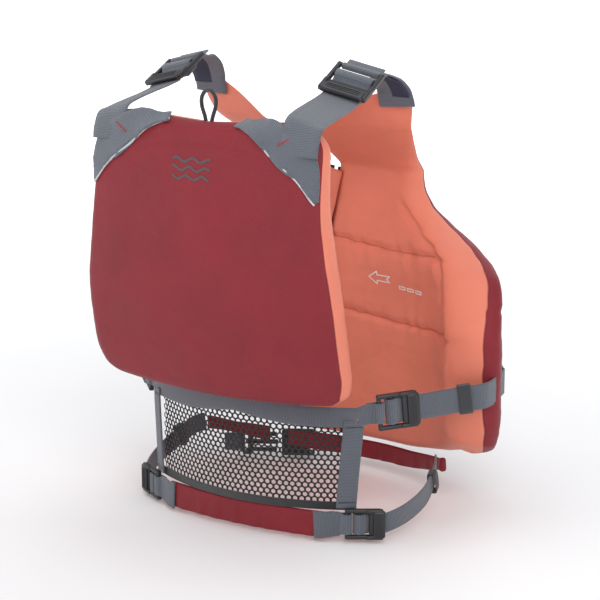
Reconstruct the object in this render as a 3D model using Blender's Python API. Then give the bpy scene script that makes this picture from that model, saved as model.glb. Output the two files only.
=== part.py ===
"""Foam paddling life jacket: a back pad, a mesh lower back and two front panels that close with a zip.

The wearer faces -Y, +X is the wearer's left and +Z is up. The origin is on the centre plane, midway between
front and back, at the height of the lowest strap buckle. Lengths below are in millimetres, and every
mesh is scaled to metres as it is made.
"""

import math

import bmesh
import bpy
from mathutils import Matrix, Vector

MM = 0.001
ORIGIN_SHIFT_Y = -4.5  # from where the constants below are measured to midway between front and back
GAP = 0.5  # clear space between neighbouring pieces

# Fabric, webbing and foam
CLOTH = 1.2
WEB = 1.8
FOAM_FILL = 0.72  # the foam's share of the panel's thickness
FOAM_MARGIN = 14.0  # how far the foam keeps from the panel's edge
WIDE_WEB = 38.0
WAIST_WEB = 25.0
BACK_WEB = 20.0

# Back pad
PAD_BOTTOM = 143.0
PAD_TOP = ((0, 408), (0.4, 411), (0.7, 413), (0.88, 407), (1, 393))
PAD_DEPTH = 36.0
PAD_SAG = 9.0
PAD_WALL = 0.62
PAD_WIDTHS = ((0, 122), (0.05, 138), (0.13, 143), (0.35, 142), (0.6, 134), (0.8, 128), (1, 126))

# The webbing over each top corner of the pad, along its two edges
YOKE_UPPER_X = ((0, 42), (0.2, 77), (0.42, 99), (0.66, 122), (0.82, 125), (1, 124))
YOKE_UPPER_Z = ((0, 411), (0.2, 410), (0.42, 402), (0.66, 385), (0.82, 366), (1, 347))
YOKE_LOWER_X = ((0, 38), (0.25, 58), (0.5, 77), (0.78, 106), (1, 122))
YOKE_LOWER_Z = ((0, 408), (0.25, 400), (0.5, 384), (0.78, 362), (1, 343))

HANG_LOOP_Y, HANG_LOOP_Z = 151.0, 411.0

# Front panels, on an ellipse around the wearer
CHEST_CENTRE_Y = -2.0
CHEST_HALF_WIDTH = 188.0
PANEL_BOTTOM, PANEL_TIP = 62.0, 424.0
DROP_REACH = 0.17
PANEL_DEPTH = ((62, 42), (100, 56), (230, 58), (270, 44), (300, 34), (345, 24), (424, 12))
ZIP_FOOT_X, ZIP_HEAD_X, ZIP_GAP = 80.0, 20.0, 8.5
ZIP_TOP, ZIP_TOP_DEPTH, ZIP_LEAN = 330.0, 107.0, 0.1
NECK_WRAP = 32.0

# Shoulder straps
LOCK_LONG = 44.0
LOCK_THICK = 5.0
SHOULDER_SLOPE = math.radians(17)
SHOULDER_REAR = ((105, 151, 412.5), (103, 130, 418), (102, 111, 421.5))
SHOULDER_LOCK = ((99, 42, 449), (100, 86, 427))
SHOULDER_FRONT = ((99, 40, 449), (100, 22, 449), (103, 7, 442), (106, -4, 431))

# Side straps: rear and front ends of each lock, then the webbing's route, on the left side
WAIST_LOOP = ((120.5, 73.5, 124.5), (128.0, 66.3, 127.1))
WAIST_LOCK = ((130.5, 64, 128), (158.9, 36.5, 131.5))
WAIST_STRAP = ((169.5, 26.3, 133.2), (211.5, -14, 140))
HEM_LOCK = ((108, 84.5, 19), (138.8, 65.7, 19))
HEM_STRAP = ((142.2, 63, 20), (151, 40, 25), (154, 12, 33), (150, -12, 42), (145.5, -27, 49))
PANEL_DROP = ((0, 29), (60, 28), (120, 18), (160, 0), (190, 0))
HEM_START_X = 87.0
FRONT_HEM_BOTTOM = ((0, 12), (60, 14), (100, 22), (143, 40))

# Lower back: each sheet is (half its width, y on the centre plane, y at its sides)
WAIST_Z = 140.0
WAIST_PLAN = (119.0, 113.0, 76.0)
MESH_PLAN = (116.0, 108.0, 71.5)
MESH_HEAD, MESH_THICK = 139.0, 1.0
BINDING_PLAN, BINDING_THICK = (112.0, 108.0, 76.5), 3.4
HEM_PLAN, BAND_THICK = (88.0, 104.0, 92.0), 3.0
HEM_TAB_ENDS = ((89.0, 92.0, 2.0, 33.0), (106.5, 85.6, 9.0, 30.0))  # each x, y, foot and head
HEM_TAB_THICK = 2.4
BACK_WAIST_Z = ((0, 133), (68, 125), (119, 124))
BINDING_Z, BINDING_TALL = 35.0, 8.0
HEM_TOP, HEM_BOTTOM = 30.0, 2.0

SIDE_WEBBING = ((114.5, 80.5, 112), (108.5, 84, 41))

# Front closure: an offset zip on the wearer's left, and a belt buckle over it
ZIP_OUT = 6.0
ZIP_BOTTOM, SLIDER_Z = 40.0, 312.0
ZIP_TURN = 15.0
ZIP_SECTION = (
    (1.0, -1.3), (1.0, 1.3), (3.4, 1.3), (3.4, 0.5), (6.3, 0.5), (6.3, -0.5), (3.4, -0.5), (3.4, -1.3),
)
FACING, FACING_INSET = 20.0, 7.0
FACING_FOOT = PANEL_BOTTOM + 10
FACING_HEAD = {"left": ZIP_TOP - 14, "right": 226.0}
BUCKLE_X, BUCKLE_Z, BUCKLE_OUT = 88.0, 17.0, 10.5
BELT_END = {"left": 76.0, "right": -49.0}
LASH_X, LASH_Y, LASH_Z = -58.0, -149.0, 245.0

COLOURS = {
    "shell": ((0.26, 0.016, 0.028), 0.55),
    "lining": ((0.78, 0.24, 0.15), 0.5),
    "foam": ((0.85, 0.85, 0.83), 0.9),
    "webbing": ((0.13, 0.14, 0.17), 0.7),
    "piping": ((0.45, 0.45, 0.46), 0.35),
    "plastic": ((0.012, 0.012, 0.014), 0.3),
    "mesh": ((0.01, 0.01, 0.01), 0.8),
    "binding": ((0.012, 0.012, 0.015), 0.75),
    "underlay": ((0.02, 0.025, 0.05), 0.7),
}

SIDES = {"left": 1.0, "right": -1.0}


# Meshes ------------------------------------------------------------------------------------------


def clear_scene():
    for old in list(bpy.data.objects):
        bpy.data.objects.remove(old)


def material(name, look):
    colour, roughness = COLOURS[look]
    made = bpy.data.materials.new(name)
    made.use_nodes = True
    shader = made.node_tree.nodes["Principled BSDF"]
    shader.inputs["Base Color"].default_value = (*colour, 1.0)
    shader.inputs["Roughness"].default_value = roughness
    shader.inputs["Metallic"].default_value = 0.0
    return made


def node(name, mesh_builder, look):
    """An object with its mesh in place, in metres, and its own material."""
    bmesh.ops.recalc_face_normals(mesh_builder, faces=mesh_builder.faces)
    bmesh.ops.scale(mesh_builder, vec=Vector((MM, MM, MM)), verts=mesh_builder.verts)
    data = bpy.data.meshes.new(name)
    mesh_builder.to_mesh(data)
    mesh_builder.free()
    data.materials.append(material(name, look))
    made = bpy.data.objects.new(name, data)
    bpy.context.scene.collection.objects.link(made)
    return made


def border(columns, rows):
    """Indices of a grid's edge, in order around it."""
    bottom = [(i, 0) for i in range(columns)]
    right = [(columns - 1, j) for j in range(1, rows)]
    top = [(i, rows - 1) for i in range(columns - 2, -1, -1)]
    left = [(0, j) for j in range(rows - 2, 0, -1)]
    return bottom + right + top + left


def add_grid(builder, grid):
    return [[builder.verts.new(point) for point in column] for column in grid]


def fill_grid(builder, verts):
    for i in range(len(verts) - 1):
        for j in range(len(verts[0]) - 1):
            builder.faces.new((verts[i][j], verts[i + 1][j], verts[i + 1][j + 1], verts[i][j + 1]))


def bridge(builder, ring_a, ring_b):
    for k in range(len(ring_a)):
        after = (k + 1) % len(ring_a)
        builder.faces.new((ring_a[k], ring_a[after], ring_b[after], ring_b[k]))


def slab(name, lower, upper, look):
    """A solid between two grids of points of the same size."""
    builder = bmesh.new()
    low, high = add_grid(builder, lower), add_grid(builder, upper)
    fill_grid(builder, low)
    fill_grid(builder, high)
    edge = border(len(lower), len(lower[0]))
    bridge(builder, [low[i][j] for i, j in edge], [high[i][j] for i, j in edge])
    return node(name, builder, look)


def tray(name, outside, outer_rim, inner_rim, inside, look):
    """A cup: two grids joined by walls that end in a rim."""
    builder = bmesh.new()
    out_verts, in_verts = add_grid(builder, outside), add_grid(builder, inside)
    fill_grid(builder, out_verts)
    fill_grid(builder, in_verts)
    edge = border(len(outside), len(outside[0]))
    rings = [
        [out_verts[i][j] for i, j in edge],
        [builder.verts.new(outer_rim[i][j]) for i, j in edge],
        [builder.verts.new(inner_rim[i][j]) for i, j in edge],
        [in_verts[i][j] for i, j in edge],
    ]
    for ring_a, ring_b in zip(rings, rings[1:]):
        bridge(builder, ring_a, ring_b)
    return node(name, builder, look)


def add_box(builder, low, high, round_by=0.0):
    made = bmesh.ops.create_cube(builder, size=1.0)["verts"]
    middle = (Vector(low) + Vector(high)) / 2
    size = Vector(high) - Vector(low)
    bmesh.ops.scale(builder, vec=size, verts=made)
    bmesh.ops.translate(builder, vec=middle, verts=made)
    if round_by:
        edges = {edge for vert in made for edge in vert.link_edges}
        bmesh.ops.bevel(
            builder, geom=list(edges), offset=round_by, segments=2, profile=0.5, affect="EDGES"
        )


def boxes(name, place, parts, look, cuts=()):
    """Boxes joined into one body, with other boxes cut out of it, then moved by the matrix `place`."""
    objects = []
    for index, (low, high, round_by) in enumerate(list(parts) + list(cuts)):
        builder = bmesh.new()
        add_box(builder, low, high, round_by)
        objects.append(node(f"{name}_{index}", builder, look))
    made = objects[0]
    for index, other in enumerate(objects[1:], start=1):
        change = made.modifiers.new(f"join_{index}", "BOOLEAN")
        change.object = other
        change.operation = "UNION" if index < len(parts) else "DIFFERENCE"
        change.solver = "EXACT"
        other.hide_render = True
        other.display_type = "WIRE"
    graph = bpy.context.evaluated_depsgraph_get()
    final = bpy.data.meshes.new_from_object(made.evaluated_get(graph))
    for old in objects:
        bpy.data.objects.remove(old)
    final.name = name
    moved = Matrix.Scale(MM, 4) @ place @ Matrix.Scale(1 / MM, 4)
    final.transform(moved)
    if moved.determinant() < 0:
        final.flip_normals()
    final.materials.clear()
    final.materials.append(material(name, look))
    result = bpy.data.objects.new(name, final)
    bpy.context.scene.collection.objects.link(result)
    return result


# Shapes ------------------------------------------------------------------------------------------


def profile(at, stations):
    """A smooth curve through (position, value) stations, without overshoot, flat past its ends."""
    xs = [station[0] for station in stations]
    ys = [station[1] for station in stations]
    at = min(max(at, xs[0]), xs[-1])
    slopes = [(b - a) / (q - p) for p, q, a, b in zip(xs, xs[1:], ys, ys[1:])]
    inner = [0.0 if a * b <= 0 else 2 * a * b / (a + b) for a, b in zip(slopes, slopes[1:])]
    tangents = [slopes[0]] + inner + [slopes[-1]]
    i = min(sum(x <= at for x in xs) - 1, len(xs) - 2)
    span = xs[i + 1] - xs[i]
    t = (at - xs[i]) / span
    return (
        (1 + 2 * t) * (1 - t) ** 2 * ys[i]
        + t * (1 - t) ** 2 * span * tangents[i]
        + t * t * (3 - 2 * t) * ys[i + 1]
        + t * t * (t - 1) * span * tangents[i + 1]
    )


def smooth_route(points, count):
    """Points along a Catmull-Rom curve through the given ones."""
    ends = [2 * points[0] - points[1]] + list(points) + [2 * points[-1] - points[-2]]
    route = []
    for k in range(count):
        at = k / (count - 1) * (len(points) - 1)
        i = min(int(at), len(points) - 2)
        t = at - i
        a, b, c, d = ends[i : i + 4]
        route.append(
            0.5
            * (2 * b + (c - a) * t + (2 * a - 5 * b + 4 * c - d) * t**2 + (3 * b - a - 3 * c + d) * t**3)
        )
    return route


def steps(first, last, count):
    return [first + (last - first) * k / (count - 1) for k in range(count)]


def pillow(t, edge_low, edge_high, reach=0.22):
    """Thickness across a padded panel: full in the middle, edge_low and edge_high of it at the ends."""
    low = 1 - (1 - edge_low) * max(0.0, 1 - t / reach) ** 2.2
    high = 1 - (1 - edge_high) * max(0.0, 1 - (1 - t) / reach) ** 2.2
    return low * high


class Panel:
    """A padded panel over a unit square: a middle surface, its outward normal, and its half thickness."""

    def __init__(self, middle, half_thick, outward):
        self.middle = middle
        self.half_thick = half_thick
        self.outward = outward

    def normal(self, u, v):
        step = 0.01
        u0, u1 = max(u - step, 0.0), min(u + step, 1.0)
        v0, v1 = max(v - step, 0.0), min(v + step, 1.0)
        along = self.middle(u1, v) - self.middle(u0, v)
        up = self.middle(u, v1) - self.middle(u, v0)
        made = along.cross(up).normalized()
        return made if made.dot(self.outward(u, v)) > 0 else -made

    def at(self, u, v, side, inset=0.0):
        """A point on the outer (side 1) or inner (side -1) face, or `inset` below it."""
        return self.middle(u, v) + self.normal(u, v) * side * (self.half_thick(u, v) - inset)

    def grid(self, columns, rows, side, inset=0.0, margin=0.0, top=1.0):
        """Points `inset` below a face (side 1 outside, -1 inside), and at least `margin` from the edge."""
        made = []
        for i in range(columns):
            column = []
            for j in range(rows):
                u, v = i / (columns - 1), j / (rows - 1)
                dv = margin / (self.middle(u, 1) - self.middle(u, 0)).length
                v = dv + (top - 2 * dv) * v
                du = margin / (self.middle(1, v) - self.middle(0, v)).length
                column.append(self.at(du + (1 - 2 * du) * u, v, side, inset))
            made.append(column)
        return made


def padded_panel(prefix, suffix, panel, columns, rows, foam_top):
    """The shell on the outer face, the lining round the inner face and edge, and the foam between."""
    inside = CLOTH + 1.5 * GAP
    slab(
        f"{prefix}_shell{suffix}",
        panel.grid(columns, rows, 1, CLOTH),
        panel.grid(columns, rows, 1),
        "shell",
    )
    tray(
        f"{prefix}_lining{suffix}",
        panel.grid(columns, rows, -1),
        panel.grid(columns, rows, 1, inside),
        panel.grid(columns, rows, 1, inside, margin=CLOTH),
        panel.grid(columns, rows, -1, CLOTH, margin=CLOTH),
        "lining",
    )
    slab(
        f"{prefix}_foam{suffix}",
        panel.grid(columns, rows, -FOAM_FILL, margin=FOAM_MARGIN, top=foam_top),
        panel.grid(columns, rows, FOAM_FILL, margin=FOAM_MARGIN, top=foam_top),
        "foam",
    )


def ribbon(name, route, across, width, look, thick=WEB, lift=0.0):
    """Webbing laid along a route, on its side facing tangent x across and `lift` from it."""
    lower, upper = [[], []], [[], []]
    for k, point in enumerate(route):
        tangent = (route[min(k + 1, len(route) - 1)] - route[max(k - 1, 0)]).normalized()
        sideways = across[k] if isinstance(across, list) else across
        sideways = (sideways - tangent * sideways.dot(tangent)).normalized()
        normal = tangent.cross(sideways)
        for column, reach in enumerate((-0.5, 0.5)):
            edge = point + sideways * width * reach + normal * lift
            lower[column].append(edge)
            upper[column].append(edge + normal * thick)
    return slab(name, lower, upper, look)


def draped(name, panel, side, lift, thick, columns, rows, place, look):
    """Cloth or webbing lying on a panel's face: place(s, t) gives (u, v) for s across it and t along it."""
    grids = []
    for extra in (0.0, thick):
        grids.append(
            [
                [panel.at(*place(s, t), side, -(lift + extra)) for t in steps(0, 1, rows)]
                for s in steps(0, 1, columns)
            ]
        )
    return slab(name, grids[0], grids[1], look)


def frame_matrix(origin, along, across):
    """Local x across the webbing, y along it, z away from the wearer."""
    along = along.normalized()
    across = (across - along * across.dot(along)).normalized()
    lift = across.cross(along)
    rows = Matrix((across, along, lift)).transposed().to_4x4()
    return Matrix.Translation(origin) @ rows


def lock_length(web):
    return LOCK_LONG * (0.62 + 0.38 * web / WIDE_WEB)


def ladder_lock(name, place, web):
    """A strap adjuster from its fixed bar at y = 0 to the raised thumb lip that lets the webbing slip."""
    half, long, bar = web / 2 + 5.5, lock_length(web), 4.0
    slot = web / 2 + 0.8
    y0, y3 = 0.0, long
    y1, y2 = y0 + bar + 0.27 * long, y0 + bar + 0.60 * long
    cuts = [
        ((-slot, y0 + bar, -9), (slot, y1 - bar / 2, 9), 0),
        ((-slot, y1 + bar / 2, -9), (slot, y2 - bar / 2, 9), 0),
    ]
    parts = [
        ((-half, y0, 0), (half, y3, LOCK_THICK), 1.4),
        ((-half * 0.82, y3 - 7, 1.2), (half * 0.82, y3 + 3.5, 7.6), 2.2),
    ]
    return boxes(name, place, parts, "plastic", cuts)


# The object --------------------------------------------------------------------------------------


def pad_middle(u, v):
    width = profile(v, PAD_WIDTHS)
    x = (1 - 2 * u) * width
    share = abs(1 - 2 * u)
    top = profile(share, PAD_TOP)
    bottom = PAD_BOTTOM + 6 * share**2
    z = bottom + (top - bottom) * v
    y = profile(z, [(150, 135), (190, 147), (260, 158), (330, 159), (380, 155), (409, 151)])
    return Vector((x, y - PAD_SAG * (x / 140) ** 2, z))


def pad_half_thick(u, v):
    return PAD_DEPTH / 2 * pillow(u, PAD_WALL, PAD_WALL) * pillow(v, 0.36, 0.36)


PAD = Panel(pad_middle, pad_half_thick, lambda u, v: Vector((0, 1, 0)))


def chest_y(x, z):
    """The panels' middle surface: an ellipse that leans back a little along the zip, and more above."""
    depth = profile(z, [(ZIP_TOP + 4, ZIP_TOP_DEPTH), (350, 90), (370, 60), (391, 30), (424, 14)])
    if z < ZIP_TOP + 4:
        depth += ZIP_LEAN * (ZIP_TOP + 4 - z)
    neck_wrap = NECK_WRAP * profile(z, [(336, 0), (391, 1)]) * max(0.0, 1 - abs(x) / 125) ** 1.5
    return CHEST_CENTRE_Y - depth * math.sqrt(1 - (x / CHEST_HALF_WIDTH) ** 2) + neck_wrap


def zip_x(z):
    """The zip slants from the wearer's left hip to the foot of the neckline."""
    share = min(z - PANEL_BOTTOM, ZIP_TOP - PANEL_BOTTOM) / (ZIP_TOP - PANEL_BOTTOM)
    return ZIP_FOOT_X + (ZIP_HEAD_X - ZIP_FOOT_X) * share


def zip_point(z):
    """The straight line of the zip, in the panels' middle surface at both its ends."""
    foot = Vector((ZIP_FOOT_X, chest_y(ZIP_FOOT_X, PANEL_BOTTOM), PANEL_BOTTOM))
    head = Vector((ZIP_HEAD_X, chest_y(ZIP_HEAD_X, ZIP_TOP), ZIP_TOP))
    return foot.lerp(head, (z - PANEL_BOTTOM) / (ZIP_TOP - PANEL_BOTTOM))


NECK_EDGE = {
    1.0: ((352, 17), (370, 34), (391, 50), (410, 71)),
    -1.0: ((352, -6), (370, 0), (391, 18), (410, 52)),
}


def neck_edge(side, z):
    at_zip = side * zip_x(z) + ZIP_GAP
    if z < ZIP_TOP:
        return at_zip
    return profile(z, [(ZIP_TOP, at_zip), *NECK_EDGE[side], (424, 92)])


ARM_EDGE = [
    (62, 172), (80, 183), (130, 187), (190, 187), (240, 175), (262, 149),
    (280, 117), (300, 92), (321, 84), (345, 86), (366, 98), (391, 112), (424, 122),
]


def panel_middle(side):
    """From the zip or the neckline to the armhole or the side, on this side of the centre plane."""

    def middle(u, v):
        z = PANEL_BOTTOM + (PANEL_TIP - PANEL_BOTTOM) * v
        drop = max(0.0, 1 - v / DROP_REACH)
        edges = (neck_edge(side, z - drop * profile(ZIP_FOOT_X, PANEL_DROP)), profile(z, ARM_EDGE))
        angles = [math.asin(x / CHEST_HALF_WIDTH) for x in edges]
        x = CHEST_HALF_WIDTH * math.sin(angles[0] + (angles[1] - angles[0]) * u)
        return Vector((side * x, chest_y(x, z), z - drop * profile(abs(x), PANEL_DROP)))

    return middle


def panel_half_thick(u, v):
    z = PANEL_BOTTOM + (PANEL_TIP - PANEL_BOTTOM) * v
    thick = profile(z, PANEL_DEPTH)
    side_wall = profile(z, [(240, 0.88), (300, 0.5)])
    return thick / 2 * pillow(u, 0.5, side_wall) * pillow(v, 0.5, 0.5, 0.12)


def panel_outward(middle):
    def outward(u, v):
        point = middle(u, v)
        return Vector((point.x, 1.4 * (point.y - 20), 0))

    return outward


def chest_panel(side):
    middle = panel_middle(side)
    return Panel(middle, panel_half_thick, panel_outward(middle))


PANELS = {name: chest_panel(side) for name, side in SIDES.items()}


def zip_matrix(z):
    """Across the zip, into the panels and up the zip, at a height on its line and just in front."""
    up = (zip_point(ZIP_TOP) - zip_point(PANEL_BOTTOM)).normalized()
    turn = math.radians(ZIP_TURN)
    across = Vector((math.cos(turn), math.sin(turn), 0))
    across = (across - up * across.dot(up)).normalized()
    front = across.cross(up)
    turned = Matrix((across, -front, up)).transposed().to_4x4()
    return Matrix.Translation(zip_point(z) + front * ZIP_OUT) @ turned


def face_point(name, z, x, out, face=1):
    """On a front panel's outer (face 1) or inner (face -1) side, at a height and x from the centre."""
    v = (z - PANEL_BOTTOM) / (PANEL_TIP - PANEL_BOTTOM)
    panel, side = PANELS[name], SIDES[name]
    low, high = 0.0, 1.0
    for _ in range(30):
        u = (low + high) / 2
        if panel.middle(u, v).x * side < x:
            low = u
        else:
            high = u
    return panel.at(u, v, face, -out)


def build_back():
    padded_panel("back", "", PAD, 17, 13, 1.0)


def mirror(side, points):
    return [Vector((side * x, y, z)) for x, y, z in points]


def build_shoulder(name, side):
    """Webbing from the pad's top corner to the lock, and from the lock down to the front panel's tip."""
    slope = Vector((side * math.cos(SHOULDER_SLOPE), 0, -math.sin(SHOULDER_SLOPE)))
    across = -slope * side
    rear = mirror(side, SHOULDER_REAR)
    front = mirror(side, SHOULDER_FRONT)
    ribbon(f"shoulder_strap_rear_{name}", smooth_route(rear, 9), across, WIDE_WEB, "webbing")
    ribbon(f"shoulder_strap_front_{name}", smooth_route(front, 9), across, WIDE_WEB, "webbing")
    under = smooth_route(front, 9)[1:8]
    ribbon(f"shoulder_underlay_{name}", under, across, WIDE_WEB - 6, "underlay", CLOTH, -CLOTH - GAP)
    bar, lip = mirror(side, SHOULDER_LOCK)
    ladder_lock(f"shoulder_lock_{name}", frame_matrix(bar, lip - bar, across * -1), WIDE_WEB)


def build_yoke(name, side):
    """The grey webbing over the pad's top corner, and the reflective piping along its lower edge."""

    def over(s, t):
        lower = profile(t, YOKE_LOWER_X), profile(t, YOKE_LOWER_Z)
        upper = profile(t, YOKE_UPPER_X), profile(t, YOKE_UPPER_Z)
        x, z = (low + (high - low) * s for low, high in zip(lower, upper))
        return pad_uv(side * x, z)

    draped(f"yoke_webbing_{name}", PAD, 1, 1.2, WEB, 4, 12, over, "webbing")

    def piping(s, t):
        u, v = over(0.0, t)
        return u, v - 0.012 + 0.011 * s

    draped(f"reflective_piping_{name}", PAD, 1, 1.2, 1.6, 2, 12, piping, "piping")


def pad_uv(x, z):
    """The pad's own coordinates of a point at x and z."""
    v = 0.5
    for _ in range(20):
        width = profile(v, PAD_WIDTHS)
        u = min(max(0.5 - x / (2 * width), 0.02), 0.98)
        low, high = pad_middle(u, 0).z, pad_middle(u, 1).z
        v = min(max((z - low) / (high - low), 0.02), 0.985)
    return u, v


def body_back_y(x, plan):
    """The wearer's back in plan, for a sheet whose half width, centre y and side y are given."""
    half, at_centre, at_side = plan
    return at_side + (at_centre - at_side) * (1 - (x / half) ** 2)


def back_sheet(name, plan, low, high, thick, look, columns=11, rows=2):
    """A sheet across the lower back; low and high are its edges' heights at each x."""
    grids = []
    for back in (0.0, thick):
        grid = []
        for x in steps(-plan[0], plan[0], columns):
            y = body_back_y(x, plan) + back
            grid.append([Vector((x, y, z)) for z in steps(low(x), high(x), rows)])
        grids.append(grid)
    slab(name, grids[0], grids[1], look)


def build_lower_back():
    """Waist webbing under the pad, the mesh below it in its webbing frame, and the hem band."""

    def level(z):
        return lambda x: z

    def webbing_edge(share):
        return lambda x: profile(abs(x), BACK_WAIST_Z) + BACK_WEB * share

    binding_low, binding_high = BINDING_Z - BINDING_TALL / 2, BINDING_Z + BINDING_TALL / 2
    back_sheet("waist_webbing", WAIST_PLAN, webbing_edge(-0.5), webbing_edge(0.5), WEB, "webbing", 13)
    mesh_edges = level(binding_high + 1), level(MESH_HEAD)
    back_sheet("lower_back_mesh", MESH_PLAN, *mesh_edges, MESH_THICK, "mesh", 13, 4)
    binding_edges = level(binding_low), level(binding_high)
    back_sheet("mesh_binding", BINDING_PLAN, *binding_edges, BINDING_THICK, "binding")
    back_sheet("hem_band_rear", HEM_PLAN, level(HEM_BOTTOM), level(HEM_TOP), BAND_THICK, "shell")
    for name, side in SIDES.items():
        top, bottom = mirror(side, SIDE_WEBBING)
        ribbon(f"side_webbing_{name}", [top, bottom], Vector((0.74, -side * 0.67, 0)), BACK_WEB, "webbing")
        grids = []
        for back in (0.0, HEM_TAB_THICK):
            grid = []
            for x, y, low, high in HEM_TAB_ENDS:
                grid.append([Vector((side * x, y + back, z)) for z in (low, high)])
            grids.append(grid)
        slab(f"hem_tab_{name}", grids[0], grids[1], "webbing")


def build_waist_side(name, side):
    """The side strap: a sewn loop on the back, its lock, and the strap on the panel with its keeper."""
    up = Vector((0, 0, 1))
    loop = mirror(side, WAIST_LOOP)
    ribbon(f"waist_loop_{name}", loop, up * -side, BACK_WEB, "webbing")
    rear, front = mirror(side, WAIST_LOCK)
    ladder_lock(f"waist_lock_{name}", frame_matrix(rear, front - rear, up * side), WAIST_WEB)
    strap = mirror(side, WAIST_STRAP)
    ribbon(f"waist_strap_{name}", strap, up * -side, WAIST_WEB, "webbing")
    keeper(f"waist_keeper_{name}", strap, 0.55, side)


def keeper(name, strap, share, side, along=15.0):
    """A sewn elastic band round the strap and its tail."""
    at = strap[0].lerp(strap[-1], share)
    direction = (strap[-1] - strap[0]).normalized()
    place = frame_matrix(at, direction, Vector((0, 0, side)))
    half, deep = WAIST_WEB / 2 + 0.8, 2 * WEB + 1.6
    outer = ((-half - 1.4, -along / 2, -2.0), (half + 1.4, along / 2, deep + 1.4), 0)
    hole = ((-half, -along, -0.6), (half, along, deep), 0)
    boxes(name, place, [outer], "webbing", [hole])


def build_hem_side(name, side):
    """The hem strap: its lock on the rear band's tab, the bowed strap, its keeper and the front band."""
    up = Vector((0, 0, 1))
    rear, front = mirror(side, HEM_LOCK)
    ladder_lock(f"hem_lock_{name}", frame_matrix(rear, front - rear, up * side), BACK_WEB)
    route = smooth_route(mirror(side, HEM_STRAP), 9)
    ribbon(f"hem_strap_{name}", route, up * -side, BACK_WEB, "webbing")
    keeper_run = route[5:7]
    keeper(f"hem_keeper_{name}", keeper_run, 0.5, side, 9.0)
    grids = []
    for forward in (0.0, 3.0):
        grids.append(
            [
                [
                    Vector((side * x, hem_front_y(x) - forward, z))
                    for z in (
                        profile(abs(x), FRONT_HEM_BOTTOM),
                        PANEL_BOTTOM - 3 - profile(abs(x), PANEL_DROP),
                    )
                ]
                for x in steps(side * HEM_START_X + ZIP_GAP, 143, 5 if name == "left" else 13)
            ]
        )
    slab(f"hem_band_front_{name}", grids[0], grids[1], "shell")


def hem_front_y(x):
    return CHEST_CENTRE_Y - 122 * math.sqrt(1 - (x / 154) ** 2)


def build_front_trim(name, side):
    """The belt on the panel, the zip tape, and the facing behind the zip."""
    low, high = WAIST_Z - WAIST_WEB / 2, WAIST_Z + WAIST_WEB / 2
    count = 11 if name == "left" else 15
    grids = [
        [[face_point(name, z, x, lift) for z in (low, high)] for x in steps(BELT_END[name], 185.5, count)]
        for lift in (3.0, 3.0 + WEB)
    ]
    slab(f"front_belt_{name}", grids[0], grids[1], "webbing")
    builder = bmesh.new()
    rings = [
        [builder.verts.new(zip_matrix(z) @ Vector((side * x, y, 0))) for x, y in ZIP_SECTION]
        for z in (ZIP_BOTTOM, ZIP_TOP - 3)
    ]
    bridge(builder, rings[0], rings[1])
    for ring in rings:
        builder.faces.new(ring)
    node(f"zip_tape_{name}", builder, "binding")
    heights = steps(FACING_FOOT, FACING_HEAD[name], 10)
    grids = [
        [
            [face_point(name, z, side * zip_x(z) + ZIP_GAP + across, lift, -1) for z in heights]
            for across in steps(FACING_INSET, FACING_INSET + FACING, 4)
        ]
        for lift in (2.4, 3.6)
    ]
    slab(f"zip_facing_{name}", grids[0], grids[1], "shell")


def build_zip_slider():
    """Two plates joined by the wedge between the chains, a bridge in front, and the tab on it."""
    place = zip_matrix(SLIDER_Z)
    parts = [
        ((-5.2, -3.6, -8), (5.2, -2.2, 8), 0.5),
        ((-5.2, 2.2, -8), (5.2, 3.6, 8), 0.5),
        ((-0.55, -3.0, 2), (0.55, 3.0, 7.5), 0),
        ((-1.6, -7.2, 3.4), (1.6, -3.0, 5.0), 0),
        ((-1.6, -7.2, -1.0), (1.6, -3.0, 0.6), 0),
        ((-1.6, -7.2, -1.0), (1.6, -5.8, 5.0), 0),
    ]
    boxes("zip_slider", place, parts, "plastic")
    tab = [((-3.6, -5.3, -30), (3.6, -4.1, 3.0), 0.4)]
    boxes("zip_pull", place, tab, "plastic", [((-2.0, -9, -2.4), (2.0, 0, 1.2), 0)])


def buckle_matrix():
    """x along the hem towards the wearer's left, y into the wearer, z up."""
    rise = (hem_front_y(BUCKLE_X + 1) - hem_front_y(BUCKLE_X - 1)) / 2
    across = Vector((1, rise, 0)).normalized()
    front = across.cross(Vector((0, 0, 1)))
    at = Vector((BUCKLE_X, hem_front_y(BUCKLE_X), BUCKLE_Z)) + front * BUCKLE_OUT
    return Matrix.Translation(at) @ Matrix((across, -front, Vector((0, 0, 1)))).transposed().to_4x4()


def build_front_buckle():
    """A side-release buckle on the hem, unfastened: the prongs stop just short of the socket."""
    place = buckle_matrix()
    socket = [((-40, -4.6, -14.5), (-4, 4.6, 14.5), 2.0)]
    socket_cuts = [
        ((-32, -2.7, -11.6), (2, 2.7, 11.6), 0),
        ((-27, -2.2, -30), (-13, 2.2, 30), 0),
        ((-38, -9, -10.6), (-34.5, 9, 10.6), 0),
    ]
    boxes("buckle_socket", place, socket, "plastic", socket_cuts)
    prongs = [
        ((27.2, -4.4, -14), (39, 4.4, 14), 1.8),
        ((0, -1.5, -2.4), (29, 1.5, 2.4), 0.4),
        ((1.5, -1.8, 6.6), (29, 1.8, 10.8), 0.4),
        ((1.5, -1.8, -10.8), (29, 1.8, -6.6), 0.4),
    ]
    boxes("buckle_prongs", place, prongs, "plastic", [((33, -9, -10.6), (36.5, 9, 10.6), 0)])
    grids = [
        [[place @ Vector((x, y, z)) for z in (-BACK_WEB / 2, BACK_WEB / 2)] for x in (39.6, 58)]
        for y in (1.2, 1.2 - WEB)
    ]
    slab("buckle_webbing", grids[0], grids[1], "webbing")


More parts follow.
